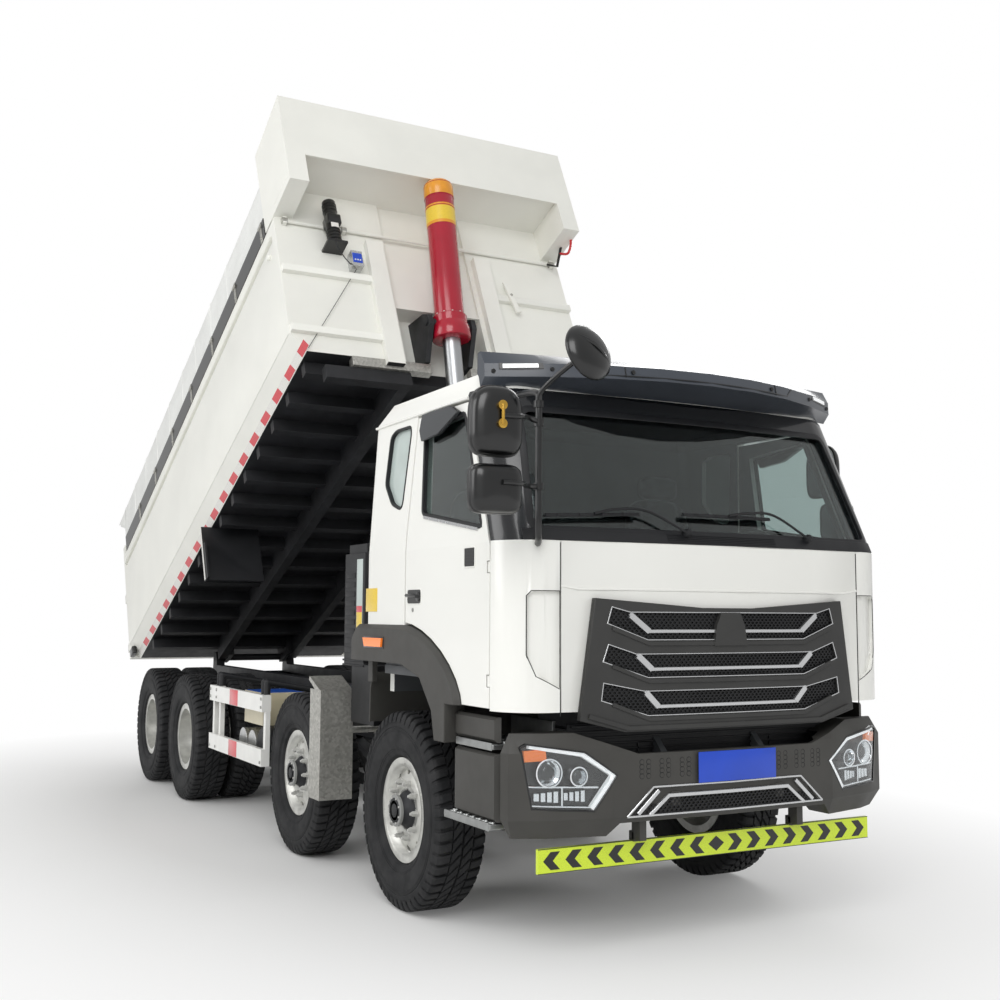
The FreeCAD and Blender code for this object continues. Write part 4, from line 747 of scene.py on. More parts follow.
def build_wheels():
    """Pressed discs in silver lacquer with long nuts, dark hubs and drums, hub caps and their screws."""
    count = 10
    for side, sign in SIDES:
        for axle in (1, 2, 3, 4):
            node = "wheel_%d_%s" % (axle, side)
            front = axle <= 2
            made = dressed(node, stock("silver"), sharp=30, more=(stock("hub"), stock("iron")))
            y = AXLE_Y[axle - 1]
            low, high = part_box("tyre_%d_%s" % (axle, side))
            mid = abs((low.x + high.x) / 2 - MID)
            reach = 0.055 if front else -0.016

            def inboard(c, n, y=y, mid=mid, reach=reach):
                radius = np.hypot(c[:, 1] - y, c[:, 2] - HUB_Z)
                return (radius < 0.196) & (np.abs(c[:, 0]) - mid < reach)

            paint(made, 1, inboard)
            paint(made, 2, lambda c, n, y=y, mid=mid: (np.hypot(c[:, 1] - y, c[:, 2] - HUB_Z) < 0.112)
                  & (np.abs(c[:, 0]) - mid > (0.082 if front else 0.018)))
            shape = Shape(mid_place)

            def hexagonal(size, turn, y, z, low, high, shape=shape, sign=sign):
                ring = hexagon(size, turn)
                shape.loft([np.stack([np.full(6, sign * value), y + ring[:, 0], z + ring[:, 1]], -1)
                            for value in (low, high)])

            seat = mid + (0.094 if front else 0.014)
            circle = sizes().nut_circle - (0.012 if front else 0.0)
            for i in range(count):
                a = 2 * math.pi * i / count
                nut_y, nut_z = y + circle * math.cos(a), HUB_Z + circle * math.sin(a)
                tip = seat + (0.036 if front else 0.045)
                hexagonal(0.021, a, nut_y, nut_z, seat - 0.012, seat + 0.006)
                hexagonal(0.0155, a, nut_y, nut_z, seat + 0.006, tip - 0.006)
                hexagonal(0.012, a, nut_y, nut_z, tip - 0.006, tip)
                shape.lathe([(tip - 0.01, 0), (tip - 0.01, 0.008), (tip + 0.008, 0.008), (tip + 0.009, 0.0)],
                            (0, nut_y, nut_z), (sign, 0, 0), steps=10)
            # hub cap: a flange with a ring of screws round a shallow cup
            cap = mid + (0.165 if front else 0.15)
            shape.lathe([(cap - 0.02, 0.0), (cap - 0.02, 0.088), (cap - 0.006, 0.088), (cap - 0.002, 0.084),
                         (cap - 0.002, 0.06), (cap, 0.055), (cap, 0.038), (cap - 0.004, 0.034),
                         (cap - 0.004, 0.0)], (0, y, HUB_Z), (sign, 0, 0), steps=40, mark=1)
            for i in range(8):
                a = 2 * math.pi * (i + 0.5) / 8
                hexagonal(0.0065, a, y + 0.072 * math.cos(a), HUB_Z + 0.072 * math.sin(a), cap - 0.004,
                          cap + 0.004)
            # valve: a bent stem through a hand hole
            stem = [(mid + 0.05, y + 0.205, HUB_Z + 0.02), (mid + 0.09, y + 0.2, HUB_Z + 0.02),
                    (mid + 0.112, y + 0.19, HUB_Z + 0.018)]
            shape.tube([(sign * p[0], p[1], p[2]) for p in stem], 0.004, steps=8, mark=0)
            shape.piece("nuts_%d_%s" % (axle, side), [stock("nut"), stock("hub")],
                        "wheels_%s_%d" % (side, axle))


# ---- front end -----------------------------------------------------------------------------------
CAB_FACE = -1.47
BUMPER_FACE = -1.5


def cab_face(x, out=0.0):
    """The bowed front of the cab: y falls back by 50 mm at 960 mm from the middle."""
    x = np.minimum(np.abs(x), 1.0)
    return CAB_FACE - out + 0.05 * (x / 0.96) ** 2


def bumper_face(x, out=0.0):
    """The bumper's plan, straight between its corners."""
    return np.interp(np.abs(x), [0, 0.7, 1.05, 1.19, 1.22], [BUMPER_FACE, -1.475, -1.4, -1.33, -1.22]) - out


def on_cab(p, out):
    """Puts (x, z) points on the bowed face of the grille."""
    return np.stack([p[:, 0], cab_face(p[:, 0], out), p[:, 1]], -1)


def on_bumper(p, out):
    """Puts (x, z) points on the bumper."""
    return np.stack([p[:, 0], bumper_face(p[:, 0], out), p[:, 1]], -1)


def resampled(path, step, closed=False):
    path = np.asarray(path, float)
    if closed:
        path = np.concatenate([path, path[:1]])
    spans = np.linalg.norm(np.diff(path, axis=0), axis=1)
    out = []
    for a, b, span in zip(path[:-1], path[1:], spans):
        n = max(1, int(math.ceil(span / step)))
        out += [a + (b - a) * i / n for i in range(n)]
    if not closed:
        out.append(path[-1])
    return np.array(out)


def ribbon(shape, path, width, put, front, back, closed=False, mark=0, step=0.08):
    """A flat bar along a path on a surface: its edges lie width / 2 to each side along the path's mitred
    normals, and it fills the depth between the surface moved out by front and by back."""
    path = resampled(path, step, closed)
    ahead = np.roll(path, -1, 0) - path
    behind = path - np.roll(path, 1, 0)
    if not closed:
        ahead[-1] = behind[-1]
        behind[0] = ahead[0]
    ahead /= np.linalg.norm(ahead, axis=1)[:, None]
    behind /= np.linalg.norm(behind, axis=1)[:, None]
    first = np.stack([-ahead[:, 1], ahead[:, 0]], -1)
    second = np.stack([-behind[:, 1], behind[:, 0]], -1)
    normal = first + second
    normal /= np.maximum((normal * first).sum(1), 0.35 * np.linalg.norm(normal, axis=1))[:, None]
    one = path + normal * width / 2
    two = path - normal * width / 2
    bevel = min(0.002, width * 0.2)
    inner_one = path + normal * (width / 2 - bevel)
    inner_two = path - normal * (width / 2 - bevel)

    ring = np.stack([put(one, back), put(one, front - bevel), put(inner_one, front), put(inner_two, front),
                     put(two, front - bevel), put(two, back)], 1)
    if closed:
        shape.grid(ring, wrap_u=True, wrap_v=True, mark=mark)
    else:
        shape.loft(ring, mark)


def inside(point, outline):
    """Whether (x, z) lies in the outline: crossings of a ray counted."""
    x, z = point
    hit = False
    for (x0, z0), (x1, z1) in zip(outline, outline[1:] + outline[:1]):
        if (z0 > z) != (z1 > z) and x < (x1 - x0) * (z - z0) / (z1 - z0) + x0:
            hit = not hit
    return hit


def honeycomb(shape, outline, put, front, back, mark=0, flat=0.62):
    """Six-sided cells, wider than high, in staggered rows: each is a ring between two hexagons."""
    cell = sizes().mesh_cell
    xs = [p[0] for p in outline]
    zs = [p[1] for p in outline]
    outer = hexagon(cell * 0.577, math.pi / 6) * (1, flat)
    inner = outer * (0.80, 0.74)
    row = cell * 0.866 * flat
    k = 0
    z = min(zs)
    while z < max(zs):
        for x in np.arange(min(xs) - cell, max(xs) + cell, cell) + (cell / 2 if k % 2 else 0):
            if inside((x, z), outline):
                small, large = inner + (x, z), outer + (x, z)
                shape.grid(np.stack([put(small, back), put(small, front), put(large, front)]), wrap_v=True,
                           mark=mark)
        z += row
        k += 1


def mirrored(points):
    return points + [(-x, z) for x, z in points[::-1]]


def build_grille():
    """Three honeycomb tiers, each with a thin bright outline and a bright raised bar, and no badge."""
    dressed("grille", stock("grille"), 0.003)
    mesh = Shape(nose_place)
    bright = Shape(nose_place)
    tiers = [([(0.60, 1.665), (0.70, 1.690), (0.725, 1.610), (0.50, 1.530)], (0.60, 1.658), (0.49, 1.572)),
             ([(0.565, 1.462), (0.72, 1.510), (0.75, 1.427), (0.50, 1.348)], (0.56, 1.462), (0.475, 1.388)),
             ([(0.52, 1.283), (0.748, 1.326), (0.76, 1.242), (0.50, 1.165)], (0.515, 1.283), (0.44, 1.207))]
    for outline, top, corner in tiers:
        whole = mirrored(outline)
        honeycomb(mesh, whole, on_cab, 0.020, 0.0125)
        ribbon(bright, whole, 0.005, on_cab, 0.0355, 0.030, closed=True)
        ribbon(bright, [top, corner, (-corner[0], corner[1]), (-top[0], top[1])], 0.017, on_cab, 0.034,
               0.0135)
        for sign in (-1, 1):
            ribbon(bright, [(sign * (top[0] - 0.004), top[1] - 0.006), (sign * corner[0], corner[1])], 0.03,
                   on_cab, 0.0355, 0.0135)
    # folded edge bars over and under each tier, and a deep lip at the foot
    bars = Shape(nose_place)
    for z in (1.512, 1.33, 1.148):
        ribbon(bars, [(0.70, z + 0.075), (0.495, z), (-0.495, z), (-0.70, z + 0.075)], 0.02, on_cab, 0.041,
               0.03)
    ribbon(bars, [(0.83, 1.17), (0.615, 1.108), (-0.615, 1.108), (-0.83, 1.17)], 0.022, on_cab, 0.043, 0.03)
    # bare mount left where a badge would sit
    bars.slab([(-0.105, 1.50), (-0.09, 1.60), (-0.06, 1.665), (0.06, 1.665), (0.09, 1.60), (0.105, 1.50)],
              CAB_FACE - 0.042, CAB_FACE - 0.012, axis=1)
    mesh.piece("grille_mesh", [stock("matt")], "cab")
    bright.piece("grille_trim", [stock("trim")], "cab")
    bars.piece("grille_bars", [stock("grille")], "cab")


LAMP = [(1.139, 1.028), (1.112, 1.044), (0.833, 1.002), (0.670, 0.888), (0.788, 0.723), (1.091, 0.742)]


def shrunk(outline, by):
    """The outline drawn in towards its middle."""
    outline = np.array(outline)
    middle = outline.mean(0)
    away = outline - middle
    reach = np.linalg.norm(away, axis=1)[:, None]
    return middle + away * (reach - by) / reach


def build_headlamps():
    """Dark housings with two round projectors, lower reflectors, a bent daylight bar, an amber corner and
    a clear cover."""
    for side, sign in SIDES:
        place = handed(sign)
        shape = Shape(place)
        rims = [(0.0, 0.004), (0.0, 0.008), (0.012, 0.05)]
        rings = []
        for by, deep in rims:
            ring = shrunk(resampled(LAMP, 0.05, closed=True), by)
            rings.append(np.stack([ring[:, 0], bumper_face(ring[:, 0], -deep), ring[:, 1]], -1))
        shape.grid(np.stack(rings), wrap_v=True)
        back = rings[-1]
        shape.add(back, [list(range(len(back)))])
        # raised rim round the opening
        ribbon(shape, [tuple(p) for p in shrunk(LAMP, 0.002)], 0.008, on_bumper, 0.0015, -0.01, closed=True)
        # daylight bar along the top and the inner lower edge
        bar = shrunk(LAMP, 0.017)
        ribbon(shape, [tuple(bar[i]) for i in (1, 2, 3, 4)], 0.022, on_bumper, -0.006, -0.03, mark=1)
        # lower edge and cross bars in bright trim
        ribbon(shape, [(0.80, 0.742), (1.085, 0.758)], 0.008, on_bumper, -0.008, -0.03, mark=2)
        ribbon(shape, [(0.765, 0.835), (1.10, 0.845)], 0.009, on_bumper, -0.010, -0.04, mark=2)
        ribbon(shape, [(0.943, 0.838), (0.943, 0.752)], 0.009, on_bumper, -0.010, -0.04, mark=2)
        # amber corner
        ribbon(shape, [(1.118, 0.985), (1.022, 0.992)], 0.052, on_bumper, -0.009, -0.03, mark=3)
        for x, z, radius in ((1.007, 0.908, 0.068), (0.862, 0.888, 0.047)):
            front = float(bumper_face(x, -0.012))
            tilt = Vector((x - 0.55, -1.2, 0)).normalized()
            axis = (tilt.x * 0.35, tilt.y, 0)
            shape.lathe([(0.0, radius), (0.006, radius), (0.006, radius - 0.007), (-0.004, radius - 0.009),
                         (-0.03, radius * 0.45), (-0.034, radius * 0.4)], (x, front, z), axis, steps=36,
                        mark=2)
            dome = [(-0.03 + 0.03 * math.cos(t), 0.62 * radius * math.sin(t))
                    for t in np.linspace(0, math.pi / 2, 9)]
            shape.lathe(dome, (x, front, z), axis, steps=28, mark=4)
        for low, high in ((0.955, 1.075), (0.825, 0.932)):
            for k in range(4):
                u0 = low + (high - low) * k / 4 + 0.004
                u1 = low + (high - low) * (k + 1) / 4 - 0.004
                ribbon(shape, [(u0, 0.795), (u1, 0.795)], 0.055 - 0.006 * k, on_bumper, -0.018 - 0.002 * k,
                       -0.04, mark=2)
        lamp_set = shape.piece("headlamp_" + side, [stock("black"), stock("white_lamp"), stock("reflector"),
                                                    stock("orange_lamp"), stock("lens")], "chassis")
        cover = Shape(place)
        outline = np.array(resampled(shrunk(LAMP, 0.004), 0.05, closed=True))
        layers = []
        middle = outline.mean(0)
        for share, out in ((1.0, -0.007), (1.0, -0.004), (0.66, -0.0022), (0.33, -0.0015), (0.0, -0.001),
                           (0.0, -0.0043), (0.33, -0.0045), (0.66, -0.0052), (1.0, -0.007)):
            flat = middle + (outline - middle) * share
            layers.append(np.stack([flat[:, 0], bumper_face(flat[:, 0], out), flat[:, 1]], -1))
        cover.grid(np.stack(layers), wrap_v=True)
        cover.piece("headlamp_cover_" + side, [stock("lens")], "chassis")
        if sign > 0:
            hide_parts("headlamps")


def build_bumper():
    """Grained bumper with dimples, a bright-framed mesh intake, a blank plate and the chevron board."""
    skin = dressed("bumper", stock("plastic"), 0.006, sharp=24, steps=3)
    # the hangers end at the top of the board, so its face stays clear
    points = np.empty(len(skin.data.vertices) * 3)
    skin.data.vertices.foreach_get("co", points)
    points = points.reshape(-1, 3)
    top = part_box("underrun_board")[1].z + 0.006
    points[points[:, 2] < top, 2] = top
    skin.data.vertices.foreach_set("co", points.ravel())
    skin.data.update()
    dark = Shape(nose_place)
    for middle, apart in ((-0.514, 0.039), (-0.398, 0.039), (-0.279, 0.040), (0.342, 0.046), (0.465, 0.046),
                          (0.577, 0.042)):
        for x in (middle - apart / 2, middle + apart / 2):
            for row in range(4):
                dark.lathe([(-0.0035, 0.0), (-0.002, 0.009), (0.0012, 0.0125), (0.0, 0.0145)],
                           (x, float(bumper_face(x, 0.0)), 0.876 + 0.0225 * row), (0, -1, 0), steps=12)
    dark.piece("bumper_dimples", [stock("hole")], "chassis", sharp=60)
    frame_shape = Shape(nose_place)
    outer = [(-0.62, 0.688), (-0.468, 0.822), (0.468, 0.822), (0.62, 0.688)]
    inner = [(-0.49, 0.688), (-0.378, 0.776), (0.378, 0.776), (0.49, 0.688)]
    ribbon(frame_shape, outer, 0.010, on_bumper, 0.006, -0.012)
    ribbon(frame_shape, inner, 0.018, on_bumper, 0.004, -0.012)
    ribbon(frame_shape, [(-0.62, 0.688), (0.62, 0.688)], 0.009, on_bumper, 0.005, -0.012)
    for sign in (-1, 1):
        ribbon(frame_shape, [(sign * 0.555, 0.697), (sign * 0.435, 0.803)], 0.02, on_bumper, 0.002, -0.012)
    frame_shape.piece("intake_trim", [stock("trim")], "chassis")
    mesh = Shape(nose_place)
    for outline, front in (([(-0.48, 0.69), (-0.372, 0.772), (0.372, 0.772), (0.48, 0.69)], -0.004),
                           ([(-0.60, 0.69), (-0.54, 0.742), (-0.44, 0.742), (-0.50, 0.69)], -0.006),
                           ([(0.60, 0.69), (0.54, 0.742), (0.44, 0.742), (0.50, 0.69)], -0.006)):
        honeycomb(mesh, outline, on_bumper, front, -0.0135)
    mesh.piece("intake_mesh", [stock("matt")], "chassis")
    # dark slats behind the upper opening
    shade_panel = Shape(nose_place)
    shade_panel.block((-0.84, -1.292, 0.79), (0.84, -1.272, 1.12), 0.004)
    for k in range(11):
        z = 0.81 + 0.029 * k
        shade_panel.block((-0.82, -1.300, z), (0.82, -1.291, z + 0.012), 0.002)
    shade_panel.piece("radiator_screen", [stock("matt")], "chassis")
    # blank plate on its two posts
    plate = Shape(nose_place)
    plate.block((-0.212, -1.5095, 0.828), (0.282, -1.506, 0.978), 0.0015)
    plate.block((-0.16, -1.507, 0.85), (-0.12, -1.49, 0.95), 0.001, mark=1)
    plate.block((0.19, -1.507, 0.85), (0.23, -1.47, 0.95), 0.001, mark=1)
    plate.piece("blank_plate", [stock("plate"), stock("bolt")], "chassis")
    dressed("underrun_board", stock("board"), 0.001)
    low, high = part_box("underrun_board")
    marks = Shape(mid_place)
    middle = (low.z + high.z) / 2
    tall = (high.z - low.z) * 0.36
    y0, y1 = low.y - 0.0012, low.y + 0.001
    # holders between the board and the hangers
    holders = Shape(mid_place)
    for x in (-0.5, 0.5):
        holders.block((x - 0.02, low.y - 0.02, high.z - 0.004), (x + 0.02, high.y + 0.004, high.z + 0.045),
                      0.003)
    holders.piece("board_holders", [stock("plastic")], "chassis")
    for sign in (-1, 1):
        for i in range(8):
            x = 0.075 + 0.122 * i
            arrow = [(x, -tall), (x + 0.052, -tall), (x + 0.092, 0), (x + 0.052, tall), (x, tall),
                     (x + 0.04, 0)]
            marks.slab([(sign * a, middle + b) for a, b in arrow], y0, y1, axis=1)
    marks.slab([(-0.05, middle), (0, middle - tall * 0.9), (0.05, middle), (0, middle + tall * 0.9)], y0, y1,
               axis=1)
    for z in (low.z + 0.0015, high.z - 0.0015):
        x0, x1 = low.x - MID, high.x - MID
        marks.slab([(x0, z - 0.0015), (x1, z - 0.0015), (x1, z + 0.0015), (x0, z + 0.0015)], y0, y1, axis=1)
    marks.piece("board_chevrons", [stock("black")], "chassis")


def build_steps():
    """Stamped steps with toothed collars, and a dark curved side panel between them."""
    dressed("cab_steps", stock("tread"), 0.003)
    for side, sign in SIDES:
        place = handed(sign)
        teeth = Shape(place)
        for z, y0, y1, x0, x1 in ((1.03, -1.185, -0.815, 0.90, 1.185), (0.655, -1.185, -0.72, 0.90, 1.2)):
            xs = np.arange(x0 + 0.03, x1 - 0.02, 0.062)
            ys = np.arange(y0 + 0.03, y1 - 0.02, 0.068)
            for x in xs:
                for y in ys:
                    a = np.linspace(0, 2 * math.pi, 17)[:-1]
                    rise = 0.0055 + 0.0025 * (np.arange(16) % 2)
                    outer = np.stack([x + 0.022 * np.cos(a), y + 0.026 * np.sin(a), np.full(16, z - 0.001)],
                                     -1)
                    crown = np.stack([x + 0.019 * np.cos(a), y + 0.023 * np.sin(a), z + rise], -1)
                    bore = np.stack([x + 0.015 * np.cos(a), y + 0.019 * np.sin(a), np.full(16, z - 0.0005)],
                                    -1)
                    teeth.grid(np.stack([outer, crown, bore]), wrap_v=True)
                    # a black disc just inside each bore: painted shade in the hole
                    teeth.add(bore + (0, 0, 0.0012), [list(range(16))], mark=1)
        # folded nose of each step
        teeth.block((1.196, -1.19, 1.0), (1.204, -0.81, 1.036), 0.002)
        teeth.block((1.21, -1.19, 0.624), (1.218, -0.71, 0.662), 0.002)
        teeth.piece("step_teeth_" + side, [stock("tread"), stock("black")], "chassis",
                    sharp=50)
        panel = Shape(place)
        turn = np.linspace(0, math.pi / 2, 9)
        plan = np.concatenate([[(0.90, -0.72)],
                               np.stack([1.12 + 0.07 * np.sin(turn), -0.79 + 0.07 * np.cos(turn)], -1),
                               [(1.193, -1.0), (1.193, -1.20)]])
        for z0, z1 in ((0.664, 0.985), (1.038, 1.158)):
            lines = []
            for inset, z in ((0.014, z0), (0.0, z0 + 0.014), (0.0, z1 - 0.014), (0.014, z1), (0.03, z1),
                             (0.03, z0)):
                lines.append(np.stack([plan[:, 0] - inset, plan[:, 1] - inset * 0.5, np.full(len(plan), z)],
                                      -1))
            panel.grid(np.stack(lines), wrap_u=True)
            for end in (0, -1):
                edge = np.stack([line[end] for line in lines])
                panel.add(edge, [list(range(len(edge)))])
        panel.piece("step_panel_" + side, [stock("plastic")], "chassis")


# ---- cab -----------------------------------------------------------------------------------------
BELT = 2.0
EAVE = 2.78
ROOF = 2.9
CAB_REAR = 0.39


def cab_side(z):
    """Half width of the cab: straight up to the belt, then leaning in by 50 mm up to the eave."""
    return 1.22 - 0.05 * np.clip((np.asarray(z) - BELT) / (EAVE - BELT), 0, 1)


def cab_nose(x, z):
    """Front of the cab: a shallow bow, then a circle through the three points of its corner."""
    share = np.clip((np.asarray(z) - BELT) / (EAVE - BELT), 0, 1)
    w = 1.22 - 0.05 * share
    u = np.minimum(np.abs(x), w)
    bow = 0.05 * (u / (w - 0.26)) ** 2
    turn = 0.28739 - np.sqrt(np.maximum(0.056847 - (u - w + 0.237792) ** 2, 0))
    return CAB_FACE + 0.34 * share + np.where(u < w - 0.26, bow, turn)


def on_nose(p, out):
    """Puts (x, z) points on the front of the cab, moved out by that much."""
    return np.stack([p[:, 0], cab_nose(p[:, 0], p[:, 1]) - out, p[:, 1]], -1)


def on_flank(sign):
    """Puts (y, z) points on one side of the cab."""
    def put(p, out):
        return np.stack([sign * (cab_side(p[:, 1]) + out), p[:, 0], p[:, 1]], -1)

    return put


def on_visor(p, out):
    """Puts (x, z) points on the swept front of the visor."""
    front = np.interp(p[:, 1] - EAVE, [0.02, 0.07, 0.14, 0.21], [-1.135, -1.39, -1.37, -1.12])
    y = -0.94 + (front + 0.94) * (1 - 0.82 * (p[:, 0] / 1.165) ** 2)
    return np.stack([p[:, 0], y - out, p[:, 1]], -1)


def screened(material):
    """Adds the black band round the screen: above the belt and ahead of the doors' leaning front edge."""
    tree = material.node_tree
    shader = tree.nodes["Principled BSDF"]
    axes = add(tree, "SeparateXYZ", {"Vector": where(tree)})
    slope = 0.34 / (EAVE - BELT)
    line = add(tree, "Math", {0: axes.outputs["Z"], 1: slope, 2: NOSE - 1.193 - slope * BELT},
               operation="MULTIPLY_ADD")
    ahead = add(tree, "Math", {0: axes.outputs["Y"], 1: line.outputs[0]}, operation="LESS_THAN")
    above = add(tree, "Math", {0: axes.outputs["Z"], 1: 2.006}, operation="GREATER_THAN")
    under = add(tree, "Math", {0: axes.outputs["Z"], 1: 2.80}, operation="LESS_THAN")
    both = add(tree, "Math", {0: ahead.outputs[0], 1: above.outputs[0]}, operation="MULTIPLY")
    band = add(tree, "Math", {0: both.outputs[0], 1: under.outputs[0]}, operation="MULTIPLY")
    colour_in = shader.inputs["Base Color"].links[0].from_socket
    mix = add(tree, "Mix", {"Factor": band.outputs[0], "A": colour_in, "B": linear("15171A")},
              data_type="RGBA")
    tree.links.new(mix.outputs["Result"], shader.inputs["Base Color"])
    return material


def cab_depth(c):
    """How far points lie inside the cab's outer skin."""
    y = c[:, 1] - NOSE
    return np.minimum.reduce([cab_side(c[:, 2]) - np.abs(c[:, 0]), y - cab_nose(c[:, 0], c[:, 2]),
                              CAB_REAR - y, ROOF - c[:, 2]])


def lined(made):
    """Inner faces of a cab panel take the trim, faces under the floor the underbody paint."""
    paint(made, 1, lambda c, n: cab_depth(c) > 0.046)
    paint(made, 2, lambda c, n: (n[:, 2] < -0.6) & (c[:, 2] < 1.36))


DOOR_WINDOW = [(-1.10, 2.078), (-0.385, 2.192), (-0.345, 2.655), (-0.83, 2.695)]
QUARTER = [(-0.105, 2.262), (-0.07, 2.243), (0.05, 2.281), (0.164, 2.405), (0.132, 2.684), (0.065, 2.714),
           (-0.145, 2.714), (-0.16, 2.674)]
SCREEN = [(-1.09, 2.06), (1.09, 2.06), (1.01, 2.69), (-1.01, 2.69)]


def rounded(outline, radius, steps=5):
    """The outline with its corners rounded: each is a quadratic curve between points radius away."""
    outline = [np.array(p, float) for p in outline]
    out = []
    for a, b, c in zip(outline[-1:] + outline[:-1], outline, outline[1:] + outline[:1]):
        p = b + (a - b) * min(0.45, radius / np.linalg.norm(a - b))
        q = b + (c - b) * min(0.45, radius / np.linalg.norm(c - b))
        for t in np.linspace(0, 1, steps):
            out.append(tuple((1 - t) ** 2 * p + 2 * t * (1 - t) * b + t * t * q))
    return out


